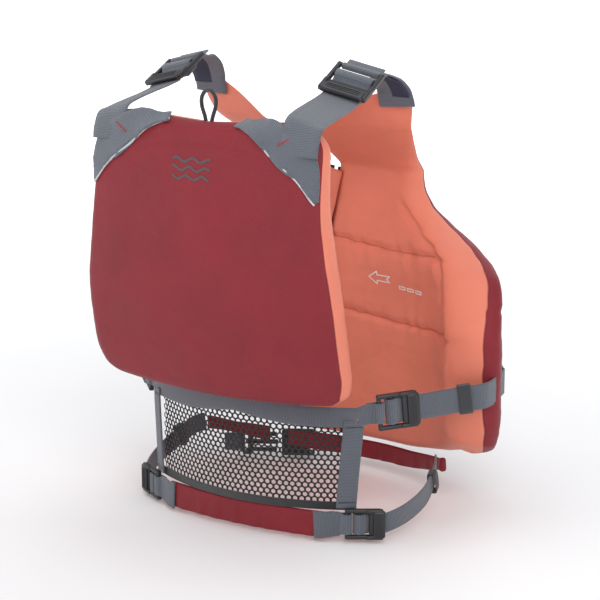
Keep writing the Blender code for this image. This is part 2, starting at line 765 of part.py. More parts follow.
def build_hang_loop():
    """Cord in a teardrop, both ends side by side on the pad's top seam."""
    outline = ((-3.6, 0), (-7, 9), (-8, 17), (-5, 24), (0, 26.5), (5, 24), (8, 17), (7, 9), (3.6, 0))
    path = [Vector((x, HANG_LOOP_Y, HANG_LOOP_Z + z)) for x, z in outline]
    ribbon("hang_loop", smooth_route(path, 19), Vector((0, 1, 0)), 7.0, "binding", 1.6)


def build_lash_tab():
    """A flat two-slot tab on the right panel, square to the front, for clipping tools to."""
    place = Matrix.Translation(Vector((LASH_X, LASH_Y, LASH_Z)))
    slots = [((-9, -9, z - 2), (9, 9, z + 2), 0) for z in (-8, 8)]
    boxes("lash_tab", place, [((-17, -1.5, -19), (17, 1.5, 19), 1.0)], "plastic", slots)


def main():
    clear_scene()
    build_back()
    build_lower_back()
    build_hang_loop()
    for name, side in SIDES.items():
        padded_panel("front", f"_{name}", PANELS[name], 13, 17, 0.84)
        build_shoulder(name, side)
        build_yoke(name, side)
        build_waist_side(name, side)
        build_hem_side(name, side)
        build_front_trim(name, side)
    build_zip_slider()
    build_front_buckle()
    build_lash_tab()
    shift = Matrix.Translation(Vector((0, ORIGIN_SHIFT_Y * MM, 0)))
    for made in bpy.data.objects:
        made.data.transform(shift)


main()
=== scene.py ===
import math

import bmesh
import bpy
import numpy as np
from mathutils import Matrix, Vector, noise
from mathutils.bvhtree import BVHTree


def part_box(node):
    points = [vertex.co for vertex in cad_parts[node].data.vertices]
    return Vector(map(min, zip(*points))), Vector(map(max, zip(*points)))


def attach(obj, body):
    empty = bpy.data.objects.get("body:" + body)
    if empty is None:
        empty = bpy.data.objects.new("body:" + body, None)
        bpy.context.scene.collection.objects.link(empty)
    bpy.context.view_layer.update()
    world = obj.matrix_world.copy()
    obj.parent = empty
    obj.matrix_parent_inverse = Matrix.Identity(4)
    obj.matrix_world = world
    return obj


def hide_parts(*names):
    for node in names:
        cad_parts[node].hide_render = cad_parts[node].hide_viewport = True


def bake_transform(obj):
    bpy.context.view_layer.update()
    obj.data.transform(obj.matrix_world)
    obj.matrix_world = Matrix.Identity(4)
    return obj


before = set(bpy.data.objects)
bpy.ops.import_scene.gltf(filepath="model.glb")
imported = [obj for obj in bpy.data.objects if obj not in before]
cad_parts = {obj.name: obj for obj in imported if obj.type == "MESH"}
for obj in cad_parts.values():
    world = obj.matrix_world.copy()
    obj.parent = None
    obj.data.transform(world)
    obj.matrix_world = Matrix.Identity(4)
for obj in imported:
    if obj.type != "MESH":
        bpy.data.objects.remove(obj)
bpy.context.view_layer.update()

# The studio ---------------------------------------------------------------------------------------
# A pale floor under the jacket, a large soft light on each side and one above, and the camera behind
# the wearer's right shoulder, where the back pad and the right panel's lining both show.

MM = 0.001
LOOK_FROM = math.radians(212)
LOOK_DOWN = math.radians(13.1)
DISTANCE = 2.03
AIM = Vector((0.0, 0.0035, 0.211))
AIM_ASIDE = 0.008
SENSOR = 36.0

away = Vector(
    (
        math.sin(LOOK_FROM) * math.cos(LOOK_DOWN),
        -math.cos(LOOK_FROM) * math.cos(LOOK_DOWN),
        math.sin(LOOK_DOWN),
    )
)
aside = (-away).cross(Vector((0, 0, 1))).normalized()
camera = bpy.data.objects.new("camera", bpy.data.cameras.new("camera"))
camera.data.sensor_width = SENSOR
camera.data.lens = SENSOR * DISTANCE * 1000 / 600
camera.location = AIM + aside * AIM_ASIDE + away * DISTANCE
camera.rotation_euler = away.to_track_quat("Z", "Y").to_euler()
bpy.context.scene.collection.objects.link(camera)
bpy.context.scene.camera = camera


def soft_light(name, place, size, power):
    lamp = bpy.data.lights.new(name, "AREA")
    lamp.shape = "SQUARE"
    lamp.size = size
    lamp.energy = power
    made = bpy.data.objects.new(name, lamp)
    made.location = place
    made.rotation_euler = (Vector(place) - AIM).to_track_quat("Z", "Y").to_euler()
    bpy.context.scene.collection.objects.link(made)


soft_light("key", (-1.6, 1.9, 1.7), 1.3, 28)
soft_light("fill", (1.9, 1.5, 0.9), 1.6, 12)
soft_light("front", (0.2, -2.3, 1.3), 1.8, 15)
soft_light("top", (0.0, 0.2, 2.3), 1.6, 13)
world = bpy.data.worlds.new("studio")
world.use_nodes = True
world.node_tree.nodes["Background"].inputs["Color"].default_value = (0.96, 0.97, 1.0, 1)
seen = world.node_tree.nodes.new("ShaderNodeLightPath").outputs["Is Camera Ray"]
brighter = world.node_tree.nodes.new("ShaderNodeMath")
brighter.operation = "MULTIPLY_ADD"
brighter.inputs[1].default_value, brighter.inputs[2].default_value = 0.34, 0.62
world.node_tree.links.new(seen, brighter.inputs[0])
world.node_tree.links.new(brighter.outputs[0], world.node_tree.nodes["Background"].inputs["Strength"])
bpy.context.scene.world = world
bpy.context.scene.view_settings.view_transform = "Standard"


class Number:
    """A number that varies over a surface: sums and products of it add Math nodes."""

    def __init__(self, finish, socket):
        self.finish, self.socket = finish, socket

    def combine(self, operation, *values):
        made = self.finish.add("ShaderNodeMath", {"operation": operation}, dict(enumerate(values)))
        return Number(self.finish, made.outputs[0])

    def __add__(self, other):
        return self.combine("ADD", self, other)

    def __sub__(self, other):
        return self.combine("SUBTRACT", self, other)

    def __rsub__(self, other):
        return self.combine("SUBTRACT", other, self)

    def __mul__(self, other):
        return self.combine("MULTIPLY", self, other)

    __radd__ = __add__
    __rmul__ = __mul__

    def wave(self):
        return self.combine("SINE", self)

    def size(self):
        return self.combine("ABSOLUTE", self)

    def step(self, low, high):
        made = self.finish.add(
            "ShaderNodeMapRange",
            {"interpolation_type": "SMOOTHSTEP"},
            {"Value": self, "From Min": low, "From Max": high},
        )
        return Number(self.finish, made.outputs["Result"])


class Finish:
    """A material: every node of it comes from add()."""

    def __init__(self, name):
        self.material = bpy.data.materials.new(name)
        self.material.use_nodes = True
        self.tree = self.material.node_tree
        self.shader = self.tree.nodes["Principled BSDF"]
        self.place = self.add("ShaderNodeTexCoord").outputs["Object"]

    def link(self, value, socket):
        value = value.socket if isinstance(value, Number) else value
        if isinstance(value, bpy.types.NodeSocket):
            self.tree.links.new(value, socket)
        elif hasattr(value, "__len__") and len(value) == 3 and socket.type == "RGBA":
            socket.default_value = (*value, 1.0)
        else:
            socket.default_value = value

    def add(self, kind, settings=None, inputs=None):
        made = self.tree.nodes.new(kind)
        for key, value in (settings or {}).items():
            setattr(made, key, value)
        for key, value in (inputs or {}).items():
            self.link(value, made.inputs[key])
        return made

    def mottle(self, size, detail=3.0):
        """Uneven patches about `size` metres across, from 0 to 1."""
        made = self.add("ShaderNodeTexNoise", {}, {"Vector": self.place, "Scale": 1 / size, "Detail": detail})
        return Number(self, made.outputs["Fac"])

    def read(self, name):
        return Number(self, self.add("ShaderNodeAttribute", {"attribute_name": name}).outputs["Fac"])

    def mix(self, share, first, second):
        made = self.add("ShaderNodeMix", {"data_type": "RGBA"})
        self.link(share, made.inputs["Factor"])
        self.link(first, made.inputs["A"] if made.inputs["A"].type == "RGBA" else made.inputs[6])
        self.link(second, made.inputs["B"] if made.inputs["B"].type == "RGBA" else made.inputs[7])
        return made.outputs[2]

    def shade(self, colour, roughness, height=None, depth=0.0005, strength=1.0, **constants):
        self.link(colour, self.shader.inputs["Base Color"])
        self.link(roughness, self.shader.inputs["Roughness"])
        if height is not None:
            bump = self.add("ShaderNodeBump", {}, {"Height": height, "Distance": depth, "Strength": strength})
            self.link(bump.outputs["Normal"], self.shader.inputs["Normal"])
        for key, value in constants.items():
            self.link(value, self.shader.inputs[key.replace("_", " ")])
        return self.material


floor_finish = Finish("floor_paper")
floor_tone = floor_finish.mottle(0.4)
floor_far = floor_finish.add("ShaderNodeVectorMath", {"operation": "LENGTH"}, {0: floor_finish.place})
faded = Number(floor_finish, floor_far.outputs["Value"]).step(0.3, 3.0)
floor_finish.shade(
    floor_finish.mix(floor_tone, (0.90, 0.90, 0.90), (0.93, 0.93, 0.93)), 0.85,
    Emission_Color=floor_finish.mix(faded, (0, 0, 0), (0.9, 0.9, 0.92)), Emission_Strength=1.0,
)  # fmt: skip
floor_mesh = bmesh.new()
bmesh.ops.create_grid(floor_mesh, x_segments=2, y_segments=2, size=20.0)
floor_data = bpy.data.meshes.new("floor")
floor_mesh.to_mesh(floor_data)
floor_mesh.free()
floor_data.materials.append(floor_finish.material)
floor = bpy.data.objects.new("floor", floor_data)
bpy.context.scene.collection.objects.link(floor)

# The back pad -------------------------------------------------------------------------------------
# One block of soft foam in a cover: dark red nylon over the outer face, coral lining on the inside
# and round the edge, sewn together along the outer rim. Its lines are the frame's, in millimetres.

SHELL = (0.215, 0.0095, 0.018)
LINING = (0.76, 0.215, 0.135)
SHIFT_Y = -4.5  # from the measures below to the row frame
PAD_BOTTOM = 143.0
PAD_TOP = ((0, 408), (0.4, 411), (0.7, 413), (0.88, 407), (1, 393))
PAD_WIDTHS = ((0, 122), (0.05, 138), (0.13, 143), (0.35, 142), (0.6, 134), (0.8, 128), (1, 126))
PAD_BACK = ((150, 135), (190, 147), (260, 158), (330, 159), (380, 155), (409, 151))
PAD_SAG, PAD_SAG_AT = 9.0, 140.0
PAD_DEPTH, PAD_RIM = 36.0, 13.0


def row(x, y, z):
    """A place given in millimetres, in the row frame's metres."""
    return Vector((x, y + SHIFT_Y, z)) * MM


def profile(at, stations):
    """A smooth curve through (position, value) stations, without overshoot, flat past its ends."""
    xs = [station[0] for station in stations]
    ys = [station[1] for station in stations]
    at = min(max(at, xs[0]), xs[-1])
    slopes = [(b - a) / (q - p) for p, q, a, b in zip(xs, xs[1:], ys, ys[1:])]
    inner = [0.0 if a * b <= 0 else 2 * a * b / (a + b) for a, b in zip(slopes, slopes[1:])]
    tangents = [slopes[0]] + inner + [slopes[-1]]
    i = min(sum(x <= at for x in xs) - 1, len(xs) - 2)
    span = xs[i + 1] - xs[i]
    t = (at - xs[i]) / span
    return (
        (2 * t**3 - 3 * t**2 + 1) * ys[i]
        + (t**3 - 2 * t**2 + t) * span * tangents[i]
        + (-2 * t**3 + 3 * t**2) * ys[i + 1]
        + (t**3 - t**2) * span * tangents[i + 1]
    )


def steps(low, high, count):
    return [low + (high - low) * k / (count - 1) for k in range(count)]


def pad_middle(u, v):
    x = (1 - 2 * u) * profile(v, PAD_WIDTHS)
    share = abs(1 - 2 * u)
    bottom = PAD_BOTTOM + 6 * share**2
    z = bottom + (profile(share, PAD_TOP) - bottom) * v
    return Vector((x, profile(z, PAD_BACK) - PAD_SAG * (x / PAD_SAG_AT) ** 2, z))


def groove(distance, width):
    """1 on a seam, falling to 0 over its width."""
    return math.exp(-((distance / width) ** 2))


def ripple(x, y, z, size, seed):
    return noise.noise(Vector((x, y, z)) / size + Vector((seed, 0, 0)))


def cushion(name, middle, half_thick, outward, columns, rows, rim, relief, finish):
    """A closed cover round a slab of foam: `rim` is how far in from the edge it is fully thick. Each point
    keeps `outer`, from 1 on the outer face through 0 on the edge to -1 on the inner face."""
    ends = [0.5 - 0.5 * math.cos(math.pi * t) for t in steps(0, 1, columns)]
    us = [0.35 * a + 0.65 * b for a, b in zip(steps(0, 1, columns), ends)]
    ends = [0.5 - 0.5 * math.cos(math.pi * t) for t in steps(0, 1, rows)]
    vs = [0.35 * a + 0.65 * b for a, b in zip(steps(0, 1, rows), ends)]
    middles = [[middle(u, v) for v in vs] for u in us]
    builder = bmesh.new()
    mark = builder.verts.layers.float.new("outer")
    fullness = builder.verts.layers.float.new("fullness")
    grids = {}
    for side in (1, -1):
        grid = []
        for i, u in enumerate(us):
            column = []
            for j, v in enumerate(vs):
                on_edge = i in (0, columns - 1) or j in (0, rows - 1)
                if on_edge and side == -1:
                    column.append(grids[1][i][j])
                    continue
                here = middles[i][j]
                near_u = min((here - middles[0][j]).length, (here - middles[-1][j]).length)
                near_v = min((here - middles[i][0]).length, (here - middles[i][-1]).length)
                full = 1.0
                for near in (near_u, near_v):
                    full *= (1 - max(0.0, 1 - near / rim) ** 2.4) ** (1 / 2.4)
                normal = outward(u, v).normalized()
                lift = half_thick(u, v) * full + relief(u, v, side, here, full)
                vert = builder.verts.new(here + normal * side * max(lift, 0.0) * (1 if not on_edge else 0))
                vert[mark] = side * full
                vert[fullness] = full
                column.append(vert)
            grid.append(column)
        grids[side] = grid
        for i in range(columns - 1):
            for j in range(rows - 1):
                corners = (grid[i][j], grid[i + 1][j], grid[i + 1][j + 1], grid[i][j + 1])
                builder.faces.new(corners if side == 1 else corners[::-1])
    bmesh.ops.recalc_face_normals(builder, faces=builder.faces)
    return piece(name, builder, finish)


def piece(name, builder, finish, smooth=True):
    """An object from a mesh in millimetres, put in its place in the row frame."""
    if builder.faces and builder.calc_volume(signed=True) < 0:
        bmesh.ops.reverse_faces(builder, faces=builder.faces)
    builder.transform(Matrix.Scale(MM, 4) @ Matrix.Translation((0, SHIFT_Y, 0)))
    data = bpy.data.meshes.new(name)
    builder.to_mesh(data)
    builder.free()
    data.materials.append(finish)
    if smooth:
        data.polygons.foreach_set("use_smooth", [True] * len(data.polygons))
    made = bpy.data.objects.new(name, data)
    bpy.context.scene.collection.objects.link(made)
    return made


def cover_finish(name, seam_at):
    """Dark red nylon where `outer` is above seam_at, coral satin lining elsewhere, and a sewn line between."""
    look = Finish(name)
    outer = look.read("outer")
    is_shell = outer.step(seam_at - 0.02, seam_at + 0.02)
    patches = look.mottle(0.05)
    fine = look.mottle(0.0009, 1.0)
    red = look.mix(patches, tuple(0.8 * c for c in SHELL), tuple(1.2 * c for c in SHELL))
    coral = look.mix(patches, tuple(0.88 * c for c in LINING), tuple(min(1, 1.09 * c) for c in LINING))
    colour = look.mix(is_shell, coral, red)
    seam = 1 - (outer - seam_at).size().step(0.0, 0.05)
    colour = look.mix(seam * 0.45, colour, (0.10, 0.01, 0.015))
    split = look.add("ShaderNodeSeparateXYZ", {}, {"Vector": look.place})
    x, z = Number(look, split.outputs["X"]), Number(look, split.outputs["Z"])
    weave = (x * 5200).wave() * (z * 5200).wave()
    crease = look.mottle(0.018, 5.0)
    height = weave * 0.10 + fine * 0.25 + crease * 1.0 - seam * 0.6
    roughness = 0.40 + is_shell * 0.12 + patches * 0.08
    return look.shade(
        colour, roughness, height, 0.0014, 0.65, Sheen_Weight=0.06, Sheen_Roughness=0.4, Specular_IOR_Level=0.36
    )


def pad_half(u, v):
    return PAD_DEPTH / 2 * (0.62 + 0.38 * math.sin(math.pi * u) ** 0.5) * (0.72 + 0.28 * math.sin(math.pi * v) ** 0.5)


def pad_relief(u, v, side, here, full):
    """The yoke seam across the top, gathers beside the rim and the broad unevenness of the foam."""
    x, z = here.x, here.z
    lift = 1.3 * ripple(x, 0, z, 70, side * 3.1) + 0.45 * ripple(x, 0, z * 2.2, 24, 7.0 + side)
    if side == 1:
        line = 389 - 7 * (x / 75) ** 2
        lift -= 1.0 * groove(z - line, 1.6) * max(0.0, 1 - (x / 82) ** 4)
        edge = 1 - min(1.0, full)
        lift += 1.1 * edge * math.sin(x / 4.3 + 2 * ripple(x, z, 0, 30, 2)) * (1 if z > 380 else 0.35)
    lift += 0.8 * (1 - full) * ripple(x * 2.0, 0, z * 2.0, 9, 11.0)
    return lift * full


pad_cover = cover_finish("pad_cover", 0.80)
back_pad = cushion(
    "back_pad", pad_middle, pad_half, lambda u, v: Vector((0, 1, 0)), 110, 120, PAD_RIM, pad_relief, pad_cover
)
marks = back_pad.data.attributes["outer"].data
for index, vert in enumerate(back_pad.data.vertices):
    from_side = (127 - abs(vert.co.x) / MM) / 14
    from_foot = (160 - vert.co.z / MM) / 14
    marks[index].value += 0.65 * min(1.0, max(0.0, from_side, from_foot))
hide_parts("back_shell", "back_lining", "back_foam")
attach(back_pad, "back")

# The front panels ---------------------------------------------------------------------------------
# The same make as the back pad, bent round the wearer's chest and narrowing to a tip at each shoulder.
# Two sewn channels cross the lining, and the edges beside the zip slant from the left hip to the neck.

CHEST_CENTRE_Y, CHEST_HALF_WIDTH = -2.0, 188.0
PANEL_BOTTOM, PANEL_TIP, DROP_REACH = 62.0, 424.0, 0.17
ZIP_FOOT_X, ZIP_HEAD_X, ZIP_GAP = 80.0, 20.0, 8.5
ZIP_TOP, ZIP_TOP_DEPTH, ZIP_LEAN = 330.0, 107.0, 0.1
NECK_WRAP = 32.0
PANEL_RIM = 17.0
PANEL_DROP = ((0, 29), (60, 28), (120, 18), (160, 0), (190, 0))
PANEL_DEPTH = ((62, 42), (100, 56), (230, 58), (270, 44), (300, 34), (345, 24), (424, 12))
ARM_EDGE = (
    (62, 172), (80, 183), (130, 187), (190, 187), (240, 175), (262, 149),
    (280, 117), (300, 92), (321, 84), (345, 86), (366, 98), (391, 112), (424, 122),
)  # fmt: skip
CHANNELS = (182.0, 257.0)
SIDES = {"left": 1.0, "right": -1.0}


def chest_y(x, z):
    depth = profile(z, ((ZIP_TOP + 4, ZIP_TOP_DEPTH), (350, 90), (370, 60), (391, 30), (424, 14)))
    depth += ZIP_LEAN * max(0.0, ZIP_TOP + 4 - z)
    neck_wrap = NECK_WRAP * profile(z, ((336, 0), (391, 1))) * max(0.0, 1 - abs(x) / 125) ** 1.5
    return CHEST_CENTRE_Y - depth * math.sqrt(1 - (x / CHEST_HALF_WIDTH) ** 2) + neck_wrap


def zip_x(z):
    share = min(z - PANEL_BOTTOM, ZIP_TOP - PANEL_BOTTOM) / (ZIP_TOP - PANEL_BOTTOM)
    return ZIP_FOOT_X + (ZIP_HEAD_X - ZIP_FOOT_X) * share


def neck_edge(side, z):
    at_zip = side * zip_x(z) + ZIP_GAP
    if z < ZIP_TOP:
        return at_zip
    neck = ((352, 17), (370, 34), (391, 50), (410, 71)) if side > 0 else ((352, -13), (370, -5), (391, 16), (410, 52))
    return profile(z, ((ZIP_TOP, at_zip), *neck, (424, 92)))


def panel_surface(side):
    def middle(u, v):
        z = PANEL_BOTTOM + (PANEL_TIP - PANEL_BOTTOM) * v
        drop = max(0.0, 1 - v / DROP_REACH)
        edges = (neck_edge(side, z - drop * profile(ZIP_FOOT_X, PANEL_DROP)), profile(z, ARM_EDGE))
        angles = [math.asin(x / CHEST_HALF_WIDTH) for x in edges]
        x = CHEST_HALF_WIDTH * math.sin(angles[0] + (angles[1] - angles[0]) * u)
        return Vector((side * x, chest_y(x, z), z - drop * profile(abs(x), PANEL_DROP)))

    def outward(u, v):
        here = middle(u, v)
        foot = -34 * max(0.0, 1 - v / 0.12)
        return Vector((here.x, 1.4 * (here.y - 20), foot if v < 0.12 else 0.0))

    return middle, outward


def panel_half(u, v):
    return profile(PANEL_BOTTOM + (PANEL_TIP - PANEL_BOTTOM) * v, PANEL_DEPTH) / 2


def panel_relief(u, v, side, here, full):
    """Sewn channels and the gathers along them on the lining, and long soft folds on both faces."""
    x, z = here.x, here.z
    around = 150 * math.atan2(x, -here.y)
    lift = 1.6 * ripple(around, z * 1.4, side, 60, 5.0 + side) + 0.6 * ripple(around, z * 2.4, 0, 19, 9.0 + side)
    lift += 0.9 * abs(ripple(around + 0.6 * z, 0.35 * z, side, 26, 41.0)) - 0.4
    if side == -1:
        tuck = 0.0
        for channel in CHANNELS:
            line = channel + 5 * math.sin(around / 60)
            tuck += groove(z - line, 3.2)
            close = math.exp(-abs(z - line) / 13)
            lift += 1.5 * close * math.sin(around / 4.6 + 3.0 * ripple(around, z, 0, 40, 21.0))
        lift -= 4.2 * tuck
        wall = math.exp(-(((u - 0.86) / 0.06) ** 2))
        lift -= 3.0 * wall * (1 if z < 300 else 0.3)
        lift += 1.5 * wall * math.sin(z / 6.0 + 4 * ripple(around, z, 0, 45, 31.0))
    else:
        lift -= 1.6 * groove(z - 214 - 4 * math.sin(around / 70), 2.0)
    lift += 1.2 * (1 - full) * math.sin((around + z) / 5.0 + 3 * ripple(around, z, 0, 28, 13.0))
    thin = profile(z, ((300, 1.0), (345, 0.55), (424, 0.25)))
    return lift * full * thin


panel_cover = cover_finish("panel_cover", 0.50)
panels = {}
for name, side in SIDES.items():
    middle, outward = panel_surface(side)
    panel = cushion(
        f"front_panel_{name}", middle, panel_half, outward, 96, 150, PANEL_RIM, panel_relief, panel_cover
    )
    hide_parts(f"front_shell_{name}", f"front_lining_{name}", f"front_foam_{name}")
    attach(panel, f"front_{name}")
    panels[name] = panel

# The yoke and the hang loop -----------------------------------------------------------------------
# Ribbed webbing sewn flat over each top corner of the pad, edged with reflective piping, carries the
# shoulder straps. A cord loop is caught in the pad's top seam between them.

WEB = 1.8
WEBBING = (0.105, 0.118, 0.145)
YOKE_UPPER_X = ((0, 42), (0.2, 77), (0.42, 99), (0.66, 122), (0.82, 125), (1, 124))
YOKE_UPPER_Z = ((0, 411), (0.2, 410), (0.42, 402), (0.66, 385), (0.82, 366), (1, 347))
YOKE_LOWER_X = ((0, 38), (0.25, 58), (0.5, 77), (0.78, 106), (1, 122))
YOKE_LOWER_Z = ((0, 408), (0.25, 400), (0.5, 384), (0.78, 362), (1, 343))
RED_THREAD = (0.30, 0.02, 0.03)

pad_tree = BVHTree.FromObject(back_pad, bpy.context.evaluated_depsgraph_get())


def on_surface(tree, x, y, z, towards, lift):
    """Where a line from (x, y, z) towards the jacket meets it, and that face's normal, in millimetres."""
    found = tree.ray_cast(row(x, y, z), Vector(towards).normalized())
    if found[0] is None:
        found = tree.find_nearest(row(x, y, z))
    place, normal = found[0] / MM, found[1]
    return place - Vector((0, SHIFT_Y, 0)) + normal * lift, normal


def webbing_finish(name, colour, ribs=1.45):
    """Woven tape: cross ribs along its length, fine warp lines along it, and paler worn edges."""
    look = Finish(name)
    along, across = look.read("along"), look.read("across")
    rib = (along * (2 * math.pi / ribs)).wave()
    warp = (across * (2 * math.pi / 0.9)).wave()
    patches = look.mottle(0.01)
    fuzz = look.mottle(0.0006, 1.0)
    edge = (across * (2.0 / 20)).size().step(0.8, 1.3)
    dark = tuple(0.62 * c for c in colour)
    pale = tuple(1.45 * c for c in colour)
    tone = look.mix(rib * 0.35 + warp * 0.12 + fuzz * 0.4 + 0.18, dark, pale)
    tone = look.mix(patches * 0.35 + edge * 0.12, tone, tuple(1.15 * c for c in colour))
    return look.shade(tone, 0.62 + patches * 0.12, rib * 0.5 + warp * 0.2 + fuzz * 0.4, 0.0006, 0.75, Sheen_Weight=0.3)


grey_webbing = webbing_finish("grey_webbing", WEBBING)


def tape(name, places, normals, width, finish, thick=WEB, cells=6, widths=None):
    """Flat tape along `places`, its face towards each normal, with rounded edges and rib coordinates."""
    builder = bmesh.new()
    along_mark = builder.verts.layers.float.new("along")
    across_mark = builder.verts.layers.float.new("across")
    rings, run = [], 0.0
    last = len(places) - 1
    for k, place in enumerate(places):
        tangent = (places[min(k + 1, last)] - places[max(k - 1, 0)]).normalized()
        normal = (normals[k] - tangent * normals[k].dot(tangent)).normalized()
        across = tangent.cross(normal)
        if k:
            run += (place - places[k - 1]).length
        half = (widths[k] if widths else width) / 2
        inset = 0.3 * thick
        upper = [(half - inset) * (2 * c / cells - 1) for c in range(cells + 1)]
        outline = [(x, thick) for x in upper] + [(half, thick / 2)] + [(x, 0.0) for x in upper[::-1]]
        outline += [(-half, thick / 2)]
        ring = []
        for x, lift in outline:
            vert = builder.verts.new(place + across * x + normal * lift)
            vert[along_mark], vert[across_mark] = run, x
            ring.append(vert)
        rings.append(ring)
    for first, second in zip(rings, rings[1:]):
        for k in range(len(first)):
            after = (k + 1) % len(first)
            builder.faces.new((first[k], first[after], second[after], second[k]))
    builder.faces.new(rings[0][::-1])
    builder.faces.new(rings[-1])
    bmesh.ops.recalc_face_normals(builder, faces=builder.faces)
    return piece(name, builder, finish)


def curve_through(points, count):
    """Evenly spaced places along a smooth line through the points."""
    points = [Vector(p) for p in points]
    padded = [2 * points[0] - points[1]] + points + [2 * points[-1] - points[-2]]
    fine = []
    for a, b, c, d in zip(padded, padded[1:], padded[2:], padded[3:]):
        for t in steps(0, 0.95, 20):
            fine.append(
                0.5 * (2 * b + (c - a) * t + (2 * a - 5 * b + 4 * c - d) * t**2 + (3 * b - a - 3 * c + d) * t**3)
            )
    fine.append(points[-1])
    lengths = [0.0]
    for a, b in zip(fine, fine[1:]):
        lengths.append(lengths[-1] + (b - a).length)
    found = []
    for goal in steps(0, lengths[-1], count):
        k = min(max(int(np.searchsorted(lengths, goal)), 1), len(fine) - 1)
        share = (goal - lengths[k - 1]) / max(lengths[k] - lengths[k - 1], 1e-9)
        found.append(fine[k - 1].lerp(fine[k], min(max(share, 0.0), 1.0)))
    return found


def stitch_tree():
    """Geometry Nodes: one short thread at every step along each edge of a drawn line."""
    tree = bpy.data.node_groups.new("stitches", "GeometryNodeTree")
    tree.interface.new_socket("Geometry", in_out="INPUT", socket_type="NodeSocketGeometry")
    sizes = {}
    for label in ("Step", "Length", "Thickness"):
        sizes[label] = tree.interface.new_socket(label, in_out="INPUT", socket_type="NodeSocketFloat").identifier
    thread = tree.interface.new_socket("Thread", in_out="INPUT", socket_type="NodeSocketMaterial")
    sizes["Thread"] = thread.identifier
    tree.interface.new_socket("Geometry", in_out="OUTPUT", socket_type="NodeSocketGeometry")
    new, link = tree.nodes.new, tree.links.new
    start, end = new("NodeGroupInput"), new("NodeGroupOutput")
    line = new("GeometryNodeMeshToCurve")
    link(start.outputs["Geometry"], line.inputs["Mesh"])
    spaced = new("GeometryNodeResampleCurve")
    spaced.mode = "LENGTH"
    link(line.outputs["Curve"], spaced.inputs["Curve"])
    link(start.outputs["Step"], spaced.inputs["Length"])
    tangent = new("GeometryNodeInputTangent")
    turned = new("FunctionNodeAlignRotationToVector")
    link(tangent.outputs["Tangent"], turned.inputs["Vector"])
    body = new("GeometryNodeMeshCylinder")
    body.inputs["Vertices"].default_value = 6
    link(start.outputs["Thickness"], body.inputs["Radius"])
    link(start.outputs["Length"], body.inputs["Depth"])
    placed = new("GeometryNodeInstanceOnPoints")
    link(spaced.outputs["Curve"], placed.inputs["Points"])
    link(body.outputs["Mesh"], placed.inputs["Instance"])
    link(turned.outputs["Rotation"], placed.inputs["Rotation"])
    real = new("GeometryNodeRealizeInstances")
    link(placed.outputs["Instances"], real.inputs["Geometry"])
    coloured = new("GeometryNodeSetMaterial")
    link(real.outputs["Geometry"], coloured.inputs["Geometry"])
    link(start.outputs["Thread"], coloured.inputs["Material"])
    link(coloured.outputs["Geometry"], end.inputs["Geometry"])
    return tree, sizes


STITCHES, STITCH_SIZES = stitch_tree()


def grown(made, tree, values):
    """The object with a Geometry Nodes tree run on it, as a plain mesh in the same place."""
    change = made.modifiers.new("grow", "NODES")
    change.node_group = tree
    for identifier, value in values.items():
        change[identifier] = value
    result = bpy.data.meshes.new_from_object(made.evaluated_get(bpy.context.evaluated_depsgraph_get()))
    made.modifiers.remove(change)
    made.data = result
    result.polygons.foreach_set("use_smooth", [True] * len(result.polygons))
    return made


def sewn(name, lines, thread, body, step=2.6, length=1.9, thick=0.32):
    """Stitches along each line of places, all in one piece that rides on a body."""
    builder = bmesh.new()
    for line in lines:
        verts = [builder.verts.new(place) for place in line]
        for first, second in zip(verts, verts[1:]):
            builder.edges.new((first, second))
    made = piece(name, builder, thread)
    sizes = {"Step": step * MM, "Length": length * MM, "Thickness": thick * MM, "Thread": thread}
    grown(made, STITCHES, {STITCH_SIZES[label]: value for label, value in sizes.items()})
    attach(made, body)
    return made


def thread_finish(name, colour):
    look = Finish(name)
    twist = look.mottle(0.0012, 2.0)
    tone = look.mix(twist, tuple(0.7 * c for c in colour), tuple(min(1.0, 1.3 * c) for c in colour))
    return look.shade(tone, 0.55, twist, 0.0002, 0.6, Sheen_Weight=0.3)


grey_thread = thread_finish("grey_thread", (0.075, 0.085, 0.11))
red_thread = thread_finish("red_thread", RED_THREAD)
orange_thread = thread_finish("orange_thread", (0.62, 0.10, 0.03))
black_thread = thread_finish("black_thread", (0.012, 0.012, 0.014))

def cord_along(name, points, radius, finish, count=60, sides=12):
    """A round cord along a smooth line, with rib coordinates."""
    places = curve_through(points, count)
    builder = bmesh.new()
    along_mark = builder.verts.layers.float.new("along")
    across_mark = builder.verts.layers.float.new("across")
    rings, run, lean = [], 0.0, Vector((0, 1, 0))
    for k, place in enumerate(places):
        tangent = (places[min(k + 1, count - 1)] - places[max(k - 1, 0)]).normalized()
        lean = (lean - tangent * lean.dot(tangent)).normalized()
        beside = tangent.cross(lean)
        run += (place - places[k - 1]).length if k else 0.0
        ring = []
        for n in range(sides):
            turn = 2 * math.pi * n / sides
            vert = builder.verts.new(place + (lean * math.cos(turn) + beside * math.sin(turn)) * radius)
            vert[along_mark], vert[across_mark] = run, radius * turn
            ring.append(vert)
        rings.append(ring)
    for first, second in zip(rings, rings[1:]):
        for n in range(sides):
            after = (n + 1) % sides
            builder.faces.new((first[n], first[after], second[after], second[n]))
    builder.faces.new(rings[0][::-1])
    builder.faces.new(rings[-1])
    bmesh.ops.recalc_face_normals(builder, faces=builder.faces)
    return piece(name, builder, finish)


piping_look = Finish("reflective_piping")
glints = piping_look.mottle(0.0008, 2.0)
piping_look.shade(
    piping_look.mix(glints, (0.36, 0.36, 0.37), (0.62, 0.62, 0.63)),
    0.28 + glints * 0.15, glints, 0.0003, 0.4, Metallic=0.35,
)  # fmt: skip

